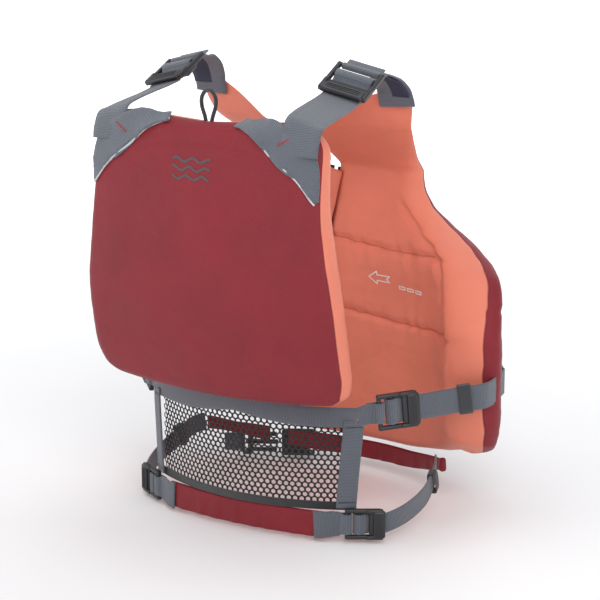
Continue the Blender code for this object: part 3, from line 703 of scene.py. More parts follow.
for name, side in SIDES.items():
    places, normals, widths, piping_places, upper_row, lower_row = [], [], [], [], [], []
    for t in steps(0, 1, 40):
        upper = (side * profile(t, YOKE_UPPER_X), profile(t, YOKE_UPPER_Z))
        lower = (side * profile(t, YOKE_LOWER_X), profile(t, YOKE_LOWER_Z))
        ends = []
        for x, z in (lower, upper):
            place, normal = on_surface(pad_tree, x, 260, z, (0, -1, 0), 0.2)
            ends.append((place, normal))
        centre, normal = on_surface(
            pad_tree, (upper[0] + lower[0]) / 2, 260, (upper[1] + lower[1]) / 2, (0, -1, 0), 0.3
        )
        places.append(centre)
        normals.append(normal)
        widths.append((ends[0][0] - ends[1][0]).length)
        piping_places.append(ends[0][0] + ends[0][1] * 1.1)
        lower_row.append(ends[0][0].lerp(centre, 0.16) + normal * (WEB + 0.1))
        upper_row.append(ends[1][0].lerp(centre, 0.16) + normal * (WEB + 0.1))
    yoke = tape(f"yoke_{name}", places, normals, 30, grey_webbing, cells=8, widths=widths)
    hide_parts(f"yoke_webbing_{name}")
    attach(yoke, "back")
    piping = cord_along(f"piping_{name}", piping_places, 1.15, piping_look.material, count=110, sides=8)
    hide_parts(f"reflective_piping_{name}")
    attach(piping, "back")
    sewn(f"yoke_stitching_{name}", [upper_row[1:-1], lower_row[1:-1]], grey_thread, "back")

for name, side in SIDES.items():
    tack_rows = []
    for row_z in (-0.7, 0.0, 0.7):
        tack_row = []
        for x, z in ((98, 402), (94.5, 400), (91, 398), (87.5, 396), (84, 394)):
            place, normal = on_surface(pad_tree, side * x, 260, z + row_z, (0, -1, 0), WEB + 0.55)
            tack_row.append(place)
        tack_rows.append(tack_row)
    sewn(f"yoke_bartack_{name}", tack_rows, red_thread, "back", step=0.9, length=1.1, thick=0.38)

black_cord = webbing_finish("black_cord", (0.014, 0.014, 0.016), 1.1)
loop_line = [
    Vector((x, 151, 404 + z))
    for x, z in ((-2.6, 0), (-4.2, 8), (-7.6, 18), (-7.6, 26), (-3.6, 32), (0, 33), (3.6, 32), (7.6, 26), (7.6, 18),
                 (4.2, 8), (2.6, 0))
]  # fmt: skip


hang_cord = cord_along("hang_cord", loop_line, 1.9, black_cord)
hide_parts("hang_loop")
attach(hang_cord, "back")

print_look = Finish("grey_print")
worn = print_look.mottle(0.002, 4.0)
grey_print = print_look.shade(print_look.mix(worn, (0.055, 0.045, 0.05), (0.085, 0.07, 0.075)), 0.5 + worn * 0.1)
for index, z in enumerate((358, 366, 374)):
    line, normals = [], []
    for t in steps(-21, 21, 40):
        place, normal = on_surface(pad_tree, 6 + t, 260, z + 1.9 * math.sin(t / 2.8 + index), (0, -1, 0), 0.12)
        line.append(place)
        normals.append(normal)
    wave = tape(f"printed_wave_{index}", line, normals, 2.4, grey_print, thick=0.12, cells=1)
    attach(wave, "back")

# The shoulder straps and their locks --------------------------------------------------------------
# Wide webbing comes out from under the yoke, passes under the lock's thumb lip and over its middle bar.
# The front strap is folded round the fixed bar and sewn to the panel's tip over a navy underlay whose dark colour is
# partly painted shade.

WIDE_WEB, SIDE_WEB, BACK_WEB = 38.0, 25.0, 20.0
SHOULDER_SLOPE = math.radians(17)
SHOULDER_BAR, SHOULDER_LIP = (99, 42, 449), (100, 86, 427)
SHOULDER_REAR = ((106, 163, 385), (106, 161, 398), (105.5, 155, 411), (104, 142, 416), (102.5, 118, 420.5), (101, 97, 424))
SHOULDER_FRONT = ((99, 31, 449.6), (100, 21, 448.6), (103, 6.5, 441.5), (106, -4, 431), (107, -9, 421), (107.5, -12, 411))
LOCK_THICK = 5.0

plastic_look = Finish("black_plastic")
orange_peel = plastic_look.mottle(0.0012, 2.0)
smears = plastic_look.mottle(0.012, 3.0)
black_plastic = plastic_look.shade(
    plastic_look.mix(smears, (0.011, 0.011, 0.013), (0.020, 0.020, 0.023)),
    0.26 + smears * 0.2, orange_peel, 0.0002, 0.35, Specular_IOR_Level=0.55,
)  # fmt: skip


def lock_length(web):
    return 44.0 * (0.62 + 0.38 * web / WIDE_WEB)


def lock_frame(bar, toward, across):
    """Local x across the webbing, y from the fixed bar to the lip, z away from the wearer."""
    bar, along = Vector(bar), (Vector(toward) - Vector(bar)).normalized()
    across = (across - along * across.dot(along)).normalized()
    return Matrix.Translation(bar) @ Matrix((across, along, across.cross(along))).transposed().to_4x4()


def rounded_box(builder, low, high, round_by, segments=3):
    made = bmesh.ops.create_cube(builder, size=1.0)["verts"]
    bmesh.ops.scale(builder, vec=Vector(high) - Vector(low), verts=made)
    bmesh.ops.translate(builder, vec=(Vector(low) + Vector(high)) / 2, verts=made)
    edges = {edge for vert in made for edge in vert.link_edges}
    bmesh.ops.bevel(builder, geom=list(edges), offset=round_by, segments=segments, profile=0.5, affect="EDGES")


def strap_lock(name, place, web, body):
    """A moulded ladder lock: side rails, a fixed bar, a middle bar, and a plate that ends in a ridged lip."""
    half, long = web / 2 + 5.3, lock_length(web)
    middle, plate = 4 + 0.27 * long, 4 + 0.60 * long
    builder = bmesh.new()
    for side in (1, -1):
        edges = sorted((side * (half - 4.3), side * half))
        rounded_box(builder, (edges[0], 0.0, 0.2), (edges[1], long - 1, 5.4), 1.5, 4)
        rounded_box(builder, (edges[0], long - 16, 1.0), (edges[1], long + 1, 6.6), 1.7, 4)
    rounded_box(builder, (-half + 2, 0.0, 0.7), (half - 2, 4.2, 4.9), 1.6, 4)
    rounded_box(builder, (-half + 2, middle - 2, 0.9), (half - 2, middle + 2, 4.7), 1.5, 4)
    rounded_box(builder, (-half + 2, plate - 2.2, 1.2), (half - 2, long - 4, 4.6), 1.2, 3)
    rounded_box(builder, (-half * 0.9, long - 9, 1.6), (half * 0.9, long + 3.0, 7.4), 2.4, 5)
    for ridge in range(3):
        y = long - 6.6 + 2.5 * ridge
        rounded_box(builder, (-half * 0.7, y, 6.7), (half * 0.7, y + 1.1, 8.0), 0.45, 2)
    builder.transform(place)
    bmesh.ops.recalc_face_normals(builder, faces=builder.faces)
    made = piece(name, builder, black_plastic)
    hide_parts(body)
    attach(made, body)
    return made


def tape_in_lock(name, place, path, width, towards, extra=(), after=(), count=40):
    """Tape whose path is (y, z) pairs in a lock's own frame, after or before more places outside it."""
    points = list(extra) + [place @ Vector((0, y, z)) for y, z in path] + list(after)
    places = curve_through(points, count)
    across = (place.to_3x3() @ Vector((1, 0, 0))) * towards
    normals = []
    for k in range(len(places)):
        tangent = (places[min(k + 1, len(places) - 1)] - places[max(k - 1, 0)]).normalized()
        normals.append(across.cross(tangent))
    return tape(name, places, normals, width, grey_webbing)


def round_fixed_bar(lead):
    """The fold round a lock's fixed bar, coming in over it and going back under, `lead` mm long on each side."""
    return ((-lead, 0.9), (-3.0, 1.9), (-0.9, 4.2), (1.2, 5.3), (3.4, 5.3), (5.1, 4.0), (5.3, 1.6), (3.6, -0.6), (0, -1.2), (-lead, -1.3))


def over_middle_bar(web):
    """In under the lip, up and over the middle bar, and down through the other slot."""
    long = lock_length(web)
    m = 4 + 0.27 * long
    return (
        (long + 2, -1.0), (long - 8, -1.2), (m + 9, -0.6), (m + 4.6, 1.6), (m + 2.4, 4.6), (m, 5.4),
        (m - 2.6, 4.6), (m - 4.4, 1.6), (m - 3.4, -1.6), (m + 2, -2.6), (m + 12, -3.4),
    )  # fmt: skip


def finish_tape(made, body, *nodes):
    if nodes:
        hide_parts(*nodes)
    if body:
        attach(made, body)
    return made


def box_stitches(places, normals_at, half_wide, first, last):
    """A rectangle of stitches on top of a tape, between two of its places."""
    rows = []
    for k in (first, last):
        tangent = (places[k + 1] - places[k - 1]).normalized()
        across = tangent.cross(normals_at[k]).normalized()
        lift = normals_at[k].normalized() * (WEB + 0.15)
        rows.append((places[k] + across * half_wide + lift, places[k] - across * half_wide + lift))
    (a, b), (c, d) = rows
    return [a, b, d, c, a]


def mirrored(side, points):
    return [Vector((side * x, y, z)) for x, y, z in points]


# The dark navy under each front strap's end is part cloth colour and part painted shade, standing for the strap's
# shaded underside.
navy_and_shade_look = Finish("navy_underlay_and_shade")
navy_patches = navy_and_shade_look.mottle(0.01)
navy_fine = navy_and_shade_look.mottle(0.0008, 1.0)
navy_cloth_and_shade = navy_and_shade_look.shade(
    navy_and_shade_look.mix(navy_patches, (0.014, 0.018, 0.04), (0.03, 0.036, 0.075)), 0.6 + navy_patches * 0.1, navy_fine, 0.0004, 0.5
)

for name, side in SIDES.items():
    slope = Vector((math.cos(SHOULDER_SLOPE), 0, -side * math.sin(SHOULDER_SLOPE)))
    bar, lip = mirrored(side, (SHOULDER_BAR, SHOULDER_LIP))
    place = lock_frame(bar, lip, slope)
    strap_lock(f"shoulder_lock_{name}_moulding", place, WIDE_WEB, f"shoulder_lock_{name}")
    over = tape_in_lock(f"shoulder_turn_{name}", place, over_middle_bar(WIDE_WEB), WIDE_WEB, -1)
    finish_tape(over, f"shoulder_lock_{name}")
    rear = curve_through(mirrored(side, SHOULDER_REAR) + [place @ Vector((0, 41, -2.6))], 44)
    normals = []
    for k in range(len(rear)):
        tangent = (rear[min(k + 1, 43)] - rear[max(k - 1, 0)]).normalized()
        normals.append(-(slope.cross(tangent)))
    strap = tape(f"shoulder_strap_{name}", rear, normals, WIDE_WEB, grey_webbing)
    finish_tape(strap, None, f"shoulder_strap_rear_{name}")
    row(side * 101, 112, 420)
    row(side * 100, 90, 426)
    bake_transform(strap)
    front = mirrored(side, SHOULDER_FRONT)
    fold = [(y, z) for y, z in reversed(round_fixed_bar(12))]
    sewn_strap = tape_in_lock(
        f"shoulder_front_{name}", place, fold[:-1], WIDE_WEB, 1, after=front, count=70
    )
    finish_tape(sewn_strap, f"front_{name}", f"shoulder_strap_front_{name}")
    places = curve_through(front, 24)
    under_normals = []
    for k in range(24):
        tangent = (places[min(k + 1, 23)] - places[max(k - 1, 0)]).normalized()
        under_normals.append(slope.cross(-tangent))
    low = [p - n.normalized() * 2.2 for p, n in zip(places, under_normals)]
    # This dark navy tape also paints the shade under the strap.
    underlay = tape(f"underlay_{name}", low[1:20], under_normals[1:20], WIDE_WEB - 3, navy_cloth_and_shade, thick=1.4)
    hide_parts(f"shoulder_underlay_{name}")
    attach(underlay, f"front_{name}")
    outline = box_stitches(places, under_normals, 15.5, 12, 21)
    lifted = [outline]
    sewn(f"shoulder_stitching_{name}", lifted, red_thread, f"front_{name}", step=2.0, length=1.6, thick=0.4)

# The waist webbing, side straps and belts ---------------------------------------------------------
# Narrow webbing runs under the back pad to a lock on each side. The wider side strap leaves each lock,
# doubles back under an elastic keeper, and is sewn round the front panel as far as the zip.

WAIST_BAR, WAIST_LIP = (130.5, 64, 128), (158.9, 36.5, 131.5)
WAIST_STRAP = ((150.5, 44.8, 129.8), (166, 29.8, 132.4), (190, 6.8, 136.5), (209, -11, 139.6))
BACK_WAIST_Z = ((0, 133), (68, 125), (119, 124))
BELT_Z = 140.0
UP = Vector((0, 0, 1))


def back_line(x, centre, at_side, half):
    """The wearer's back in plan: y at x, from `centre` in the middle to `at_side` at x = half."""
    return at_side + (centre - at_side) * (1 - (x / half) ** 2)


def across_normals(places, across):
    last = len(places) - 1
    found = []
    for k in range(len(places)):
        tangent = (places[min(k + 1, last)] - places[max(k - 1, 0)]).normalized()
        found.append(across.cross(tangent))
    return found


elastic = webbing_finish("black_elastic", (0.03, 0.032, 0.038), 0.9)


def keeper_band(name, strap, at, width, band, body):
    """A loop of narrow elastic round both layers of a strap."""
    here = strap[at]
    along = (strap[at + 1] - strap[at - 1]).normalized()
    out = UP.cross(along) if UP.cross(along).dot(Vector((here.x, 0, 0))) > 0 else along.cross(UP)
    out = (out - along * out.dot(along)).normalized()
    over = along.cross(out).normalized()
    half, deep = width / 2 + 0.9, 2 * WEB + 1.3
    corners = ((-half, -0.6), (-half, deep * 0.6), (-half + 1.0, deep), (0, deep + 0.5), (half - 1.0, deep),
               (half, deep * 0.6), (half, -0.6), (half - 1.5, -1.3), (0, -1.5), (-half + 1.5, -1.3), (-half, -0.6))  # fmt: skip
    places = curve_through([here + over * a + out * b for a, b in corners], 48)
    normals = []
    for k in range(48):
        tangent = (places[min(k + 1, 47)] - places[max(k - 1, 0)]).normalized()
        normals.append(along.cross(tangent) if along.cross(tangent).dot(places[k] - here - out) > 0 else tangent.cross(along))
    made = tape(name, places, normals, band, elastic, thick=1.1)
    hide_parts(body)
    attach(made, body)
    return made


waist_places = [
    Vector((x, back_line(x, 113, 76, 119) + 0.6, profile(abs(x), BACK_WAIST_Z))) for x in steps(-117, 117, 60)
]
waist_ends = {}
for name, side in SIDES.items():
    bar, lip = mirrored(side, (WAIST_BAR, WAIST_LIP))
    place = lock_frame(bar, lip, UP * side)
    strap_lock(f"waist_lock_{name}_moulding", place, SIDE_WEB, f"waist_lock_{name}")
    over = tape_in_lock(f"waist_turn_{name}", place, over_middle_bar(SIDE_WEB), SIDE_WEB, -1)
    finish_tape(over, f"waist_lock_{name}")
    fold = [place @ Vector((0, y, z)) for y, z in round_fixed_bar(9)]
    start = mirrored(side, ((117, back_line(117, 113, 76, 119) + 0.6, 124.1),))
    loop_places = curve_through(start + fold, 46)
    loop = tape(f"waist_fold_{name}", loop_places, across_normals(loop_places, UP * side), BACK_WEB, grey_webbing)
    finish_tape(loop, "back", f"waist_loop_{name}")
    panel_tree = BVHTree.FromObject(panels[name], bpy.context.evaluated_depsgraph_get())
    strap = mirrored(side, WAIST_STRAP)
    reach = 32 if name == "left" else -21
    round_panel, round_normals = [], []
    for angle in steps(84, reach, 46):
        turn = math.radians(angle)
        towards = Vector((-side * math.sin(turn), math.cos(turn), 0))
        origin = Vector((0, -20, BELT_Z)) - towards * 330
        found, normal = on_surface(panel_tree, *origin, towards, 0.5)
        round_panel.append(found)
        round_normals.append(-towards)
    belt = curve_through(strap + round_panel[2:], 120)
    strap_belt = tape(f"waist_belt_{name}", belt, across_normals(belt, UP * side), SIDE_WEB, grey_webbing)
    finish_tape(strap_belt, f"front_{name}", f"waist_strap_{name}", f"front_belt_{name}")
    normals = across_normals(belt, UP * side)
    tail_places = [p + n * (WEB + 0.25) for p, n in zip(belt[3:27], normals[3:27])]
    tail = tape(f"waist_tail_{name}", tail_places, normals[3:27], SIDE_WEB - 0.6, grey_webbing)
    finish_tape(tail, f"front_{name}")
    keeper_band(f"waist_keeper_{name}_band", belt, 17, SIDE_WEB, 13.0, f"waist_keeper_{name}")
    rows = []
    for share in (-0.42, 0.42):
        rows.append([p + UP * SIDE_WEB * share + n * (WEB + 0.12) for p, n in zip(belt[42:118], normals[42:118])])
    tacks = []
    for k in (50, 115):
        low, high = (belt[k] + UP * SIDE_WEB * s + normals[k] * (WEB + 0.15) for s in (-0.4, 0.4))
        tacks.append([low, high])
    sewn(f"belt_stitching_{name}", rows, grey_thread, f"front_{name}")
    sewn(f"belt_bartacks_{name}", tacks, grey_thread, f"front_{name}", step=1.0, length=2.4, thick=0.45)

waist = tape("waist_back", waist_places, across_normals(waist_places, UP), BACK_WEB, grey_webbing)
finish_tape(waist, "back", "waist_webbing")

# The mesh of the lower back -----------------------------------------------------------------------
# Black open knit hangs from the waist webbing inside the foam's reach, with a black binding along its
# foot and grey webbing up each side. Each hole is one ring of a staggered row.

PITCH, ROW_SPACING = 6.4, 4.7
HOLE_WIDE, HOLE_TALL = 2.28, 2.166  # half of each hole, across and up
MESH_TOP, MESH_FOOT = 126.0, 37.0
MESH_HALF, MESH_CENTRE_Y, MESH_SIDE_Y = 113.0, 107.5, 72.5

knit_look = Finish("black_knit")
knit_fuzz = knit_look.mottle(0.0007, 2.0)
black_knit = knit_look.shade(
    knit_look.mix(knit_fuzz, (0.009, 0.009, 0.010), (0.022, 0.022, 0.024)), 0.62 + knit_fuzz * 0.15, knit_fuzz, 0.0003, 0.6
)


def copies_tree():
    """Geometry Nodes: staggers every second row of points and puts a copy of one object on each point."""
    tree = bpy.data.node_groups.new("copies", "GeometryNodeTree")
    tree.interface.new_socket("Geometry", in_out="INPUT", socket_type="NodeSocketGeometry")
    sizes = {}
    for label, kind in (("Row spacing", "Float"), ("Stagger", "Float"), ("Copy", "Object"), ("Finish", "Material")):
        sizes[label] = tree.interface.new_socket(label, in_out="INPUT", socket_type=f"NodeSocket{kind}").identifier
    tree.interface.new_socket("Geometry", in_out="OUTPUT", socket_type="NodeSocketGeometry")
    new, link = tree.nodes.new, tree.links.new
    start, end = new("NodeGroupInput"), new("NodeGroupOutput")

    def maths(operation, first, second):
        made = new("ShaderNodeMath")
        made.operation = operation
        for socket, value in zip(made.inputs, (first, second)):
            if isinstance(value, bpy.types.NodeSocket):
                link(value, socket)
            else:
                socket.default_value = value
        return made.outputs[0]

    split = new("ShaderNodeSeparateXYZ")
    link(new("GeometryNodeInputPosition").outputs["Position"], split.inputs["Vector"])
    number = maths("ROUND", maths("DIVIDE", split.outputs["Z"], start.outputs["Row spacing"]), 0.0)
    odd = maths("PINGPONG", number, 1.0)
    moved = new("ShaderNodeCombineXYZ")
    link(maths("MULTIPLY", odd, start.outputs["Stagger"]), moved.inputs["X"])
    staggered = new("GeometryNodeSetPosition")
    link(start.outputs["Geometry"], staggered.inputs["Geometry"])
    link(moved.outputs["Vector"], staggered.inputs["Offset"])
    source = new("GeometryNodeObjectInfo")
    link(start.outputs["Copy"], source.inputs["Object"])
    placed = new("GeometryNodeInstanceOnPoints")
    link(staggered.outputs["Geometry"], placed.inputs["Points"])
    link(source.outputs["Geometry"], placed.inputs["Instance"])
    real = new("GeometryNodeRealizeInstances")
    link(placed.outputs["Instances"], real.inputs["Geometry"])
    coloured = new("GeometryNodeSetMaterial")
    link(real.outputs["Geometry"], coloured.inputs["Geometry"])
    link(start.outputs["Finish"], coloured.inputs["Material"])
    link(coloured.outputs["Geometry"], end.inputs["Geometry"])
    return tree, sizes


COPIES, COPY_SIZES = copies_tree()


def copied(name, points, copy, finish, row_spacing=1.0, stagger=0.0):
    """One object with a copy of another on each point, in millimetres; the other object is then removed."""
    data = bpy.data.meshes.new(name)
    data.from_pydata([tuple(p) for p in points], [], [])
    data.materials.append(finish)
    made = bpy.data.objects.new(name, data)
    bpy.context.scene.collection.objects.link(made)
    values = {"Row spacing": row_spacing, "Stagger": stagger, "Copy": copy, "Finish": finish}
    grown(made, COPIES, {COPY_SIZES[label]: value for label, value in values.items()})
    bpy.data.objects.remove(copy)
    return made


def knit_cell():
    """A six-sided tile with a round hole, as thick as the knit."""
    builder = bmesh.new()
    outer_radius, thick, count = PITCH / math.sqrt(3), 0.75, 12
    squash = ROW_SPACING / (PITCH * math.sqrt(3) / 2)
    layers = []
    for y in (-thick / 2, thick / 2):
        inner, outer = [], []
        for n in range(count):
            turn = 2 * math.pi * n / count + math.pi / 6
            corner = outer_radius * (1.0 if n % 2 == 0 else math.sqrt(3) / 2)
            outer.append(builder.verts.new((corner * math.sin(turn - math.pi / 6), y, squash * corner * math.cos(turn - math.pi / 6))))
            at = turn - math.pi / 6
            inner.append(builder.verts.new((HOLE_WIDE * math.sin(at), y * 0.55, HOLE_TALL * math.cos(at))))
        layers.append((inner, outer))
    for n in range(count):
        after = (n + 1) % count
        for (inner, outer), flip in zip(layers, (False, True)):
            face = (inner[n], inner[after], outer[after], outer[n])
            builder.faces.new(face[::-1] if flip else face)
        builder.faces.new((layers[0][0][n], layers[1][0][n], layers[1][0][after], layers[0][0][after]))
    bmesh.ops.recalc_face_normals(builder, faces=builder.faces)
    data = bpy.data.meshes.new("knit_cell")
    builder.to_mesh(data)
    builder.free()
    made = bpy.data.objects.new("knit_cell", data)
    bpy.context.scene.collection.objects.link(made)
    return made


def close_tiles(data):
    """Joins the tiles along their shared edges, and walls the sheet's outer rim from one face to the other."""
    builder = bmesh.new()
    builder.from_mesh(data)
    bmesh.ops.remove_doubles(builder, verts=builder.verts, dist=0.05)
    rim = [edge for edge in builder.edges if len(edge.link_faces) == 1]
    opposite = {}
    for edge in rim:
        for vert in edge.verts:
            opposite[(round(vert.co.x, 1), round(vert.co.z, 1), vert.co.y < 0)] = vert
    for edge in rim:
        first, second = edge.verts
        if first.co.y > 0:
            below = [opposite[(round(v.co.x, 1), round(v.co.z, 1), True)] for v in (second, first)]
            builder.faces.new((first, second, *below))
    bmesh.ops.recalc_face_normals(builder, faces=builder.faces)
    builder.to_mesh(data)
    open_edges = sum(len(edge.link_faces) != 2 for edge in builder.edges)
    builder.free()
    if open_edges:
        raise RuntimeError(f"the knit has {open_edges} open edges")


slopes = [back_line(x, MESH_CENTRE_Y, MESH_SIDE_Y, MESH_HALF) for x in steps(-MESH_HALF, MESH_HALF, 200)]
run = [0.0]
for k in range(1, 200):
    run.append(run[-1] + math.hypot(2 * MESH_HALF / 199, slopes[k] - slopes[k - 1]))
mesh_length = run[-1]
columns, rows = int(mesh_length / PITCH), int((MESH_TOP - MESH_FOOT) / ROW_SPACING)
points = [
    (PITCH * (i - columns / 2), 0, ROW_SPACING * j) for j in range(rows) for i in range(columns)
]
knit = copied("back_mesh", points, knit_cell(), black_knit, ROW_SPACING, PITCH / 2)
close_tiles(knit.data)
for vert in knit.data.vertices:
    along = min(max(vert.co.x + mesh_length / 2, 0.0), mesh_length)
    x = float(np.interp(along, run, steps(-MESH_HALF, MESH_HALF, 200)))
    z = MESH_FOOT + ROW_SPACING / 2 + vert.co.z
    tilt = math.atan2(-2 * (MESH_CENTRE_Y - MESH_SIDE_Y) * x / MESH_HALF**2, 1)
    sag = 2.0 * math.sin(math.pi * (z - MESH_FOOT) / (MESH_TOP - MESH_FOOT)) * math.cos(math.pi * x / MESH_HALF / 2)
    y = back_line(x, MESH_CENTRE_Y, MESH_SIDE_Y, MESH_HALF) - sag + 0.7 * ripple(x, 0, z, 30, 4.0)
    vert.co = row(x - vert.co.y * math.sin(tilt), y + vert.co.y * math.cos(tilt), z)
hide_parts("lower_back_mesh")
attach(knit, "back")
# The cut's area is counted from the knit's own pattern: each cell's rectangle less its oval hole.
cell_area = PITCH * ROW_SPACING - math.pi * HOLE_WIDE * HOLE_TALL
columns * rows * cell_area * MM**2

black_binding = webbing_finish("black_binding", (0.016, 0.016, 0.018), 1.0)
binding_places = [Vector((x, back_line(x, 108.2, 76.5, 112), 35)) for x in steps(-112, 112, 60)]
binding = tape("mesh_foot", binding_places, across_normals(binding_places, UP), 8.4, black_binding, thick=2.8)
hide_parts("mesh_binding")
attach(binding, "back")
for name, side in SIDES.items():
    places = curve_through(mirrored(side, ((114.8, 79.2, 121), (114.0, 80.5, 108), (111, 82.2, 70), (108.6, 83.4, 34))), 30)
    normals = [Vector((0.64 * side, 0.77, 0))] * 30
    upright = tape(f"side_upright_{name}", places, normals, BACK_WEB, grey_webbing)
    finish_tape(upright, "back", f"side_webbing_{name}")
    tacks = []
    across = Vector((0.77, -0.64 * side, 0))
    for k in (2, 27):
        centre = places[k] + normals[k] * (WEB + 0.15)
        tacks.append([centre - across * 8, centre + across * 8])
    sewn(f"upright_bartacks_{name}", tacks, grey_thread, "back", step=1.0, length=2.2, thick=0.42)

# The hem ------------------------------------------------------------------------------------------
# A padded dark red band under the mesh and another under the front panels, joined on each side by a
# narrow strap with its own lock, which draws the jacket in below the ribs.

HEM_BAR, HEM_LIP = (108, 84.5, 19), (138.8, 65.7, 19)
HEM_STRAP = ((131, 69.5, 17.5), (142.2, 62, 20), (151, 40, 25), (154, 12, 33), (150, -12, 42), (145.5, -27, 49), (139, -39, 51))
FRONT_HEM_FOOT = ((0, 12), (60, 14), (100, 22), (143, 40))
HEM_START_X = 87.0

band_cover = cover_finish("band_cover", -3.0)


def band_relief(u, v, side, here, full):
    return (0.8 * math.sin(here.x / 3.4 + 2.5 * ripple(here.x, 0, here.z, 22, 3.0)) * (1 - v) + 0.5) * full


def rear_band(u, v):
    x = 90 * (1 - 2 * u)
    return Vector((x, back_line(x, 105.5, 93.5, 88), 3.4 + 26.4 * v + 1.2 * math.cos(x / 60)))


hem_rear = cushion(
    "hem_rear", rear_band, lambda u, v: 2.6, lambda u, v: Vector((0, 1, 0)), 150, 14, 3.0, band_relief, band_cover
)
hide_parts("hem_band_rear")
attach(hem_rear, "back")


def hem_front_y(x):
    return CHEST_CENTRE_Y - 122 * math.sqrt(1 - (x / 154) ** 2)


for name, side in SIDES.items():

    def front_band(u, v):
        start = side * HEM_START_X + ZIP_GAP
        distance = start + (143 - start) * u
        foot = profile(abs(distance), FRONT_HEM_FOOT)
        head = PANEL_BOTTOM - 1 - profile(abs(distance), PANEL_DROP)
        return Vector((side * distance, hem_front_y(distance) - 1.5, foot + (head - foot) * v))

    def band_outward(u, v):
        here = front_band(u, v)
        return Vector((here.x / 154**2, (here.y - CHEST_CENTRE_Y) / 122**2, 0))

    hem_front = cushion(
        f"hem_front_{name}", front_band, lambda u, v: 2.6, band_outward, 60 if side > 0 else 150, 14, 3.0, band_relief,
        band_cover,
    )  # fmt: skip
    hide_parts(f"hem_band_front_{name}")
    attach(hem_front, f"front_{name}")
    bar, lip = mirrored(side, (HEM_BAR, HEM_LIP))
    place = lock_frame(bar, lip, UP * side)
    strap_lock(f"hem_lock_{name}_moulding", place, BACK_WEB, f"hem_lock_{name}")
    over = tape_in_lock(f"hem_turn_{name}", place, over_middle_bar(BACK_WEB), BACK_WEB, -1)
    finish_tape(over, f"hem_lock_{name}")
    tab_start = mirrored(side, ((82, 98.6, 17), (90, 96.4, 17.5), (98, 91.2, 18.5)))
    fold = [place @ Vector((0, y, z)) for y, z in round_fixed_bar(5)]
    tab_places = curve_through(tab_start + fold, 50)
    tab = tape(
        f"hem_tab_{name}_tape", tab_places, across_normals(tab_places, UP * side), 26, grey_webbing,
        widths=[profile(k / 49, ((0, 28), (0.45, 25), (0.6, 20), (1, 20))) for k in range(50)],
    )  # fmt: skip
    finish_tape(tab, "back", f"hem_tab_{name}")
    strap = curve_through(mirrored(side, HEM_STRAP), 80)
    hem_strap = tape(f"hem_belt_{name}", strap, across_normals(strap, UP * side), BACK_WEB, grey_webbing)
    finish_tape(hem_strap, f"front_{name}", f"hem_strap_{name}")
    keeper_band(f"hem_keeper_{name}_band", strap, 59, BACK_WEB, 9.0, f"hem_keeper_{name}")

# The zip ------------------------------------------------------------------------------------------
# Two black cloth tapes with moulded teeth slant from the left hip to the foot of the neckline. Behind
# them, dark red facings line the panels' inner edges, and a flap on the right one covers the gap.

ZIP_OUT, ZIP_TURN = 6.0, math.radians(15)
ZIP_LOW, ZIP_HIGH = 41.0, 327.0
TOOTH_PITCH = 2.6
FACING, FACING_INSET = 20.0, 7.0
FACING_FOOT, FACING_HEAD = 74.0, {"left": 314.0, "right": 224.0}
ARROW = ((-16, 0), (-4, -8), (-4, -3.6), (16, -3.6), (11, 0), (16, 3.6), (-4, 3.6), (-4, 8), (-16, 0))

zip_foot = Vector((ZIP_FOOT_X, chest_y(ZIP_FOOT_X, PANEL_BOTTOM), PANEL_BOTTOM))
zip_head = Vector((ZIP_HEAD_X, chest_y(ZIP_HEAD_X, ZIP_TOP), ZIP_TOP))
zip_up = (zip_head - zip_foot).normalized()
zip_across = Vector((math.cos(ZIP_TURN), math.sin(ZIP_TURN), 0))
zip_across = (zip_across - zip_up * zip_across.dot(zip_up)).normalized()
zip_front = zip_across.cross(zip_up)


def zip_place(z, x, out=0.0):
    at = zip_foot + (zip_head - zip_foot) * ((z - PANEL_BOTTOM) / (ZIP_TOP - PANEL_BOTTOM))
    return at + zip_front * (ZIP_OUT + out) + zip_across * x


black_cloth = webbing_finish("zip_cloth", (0.014, 0.014, 0.016), 0.8)

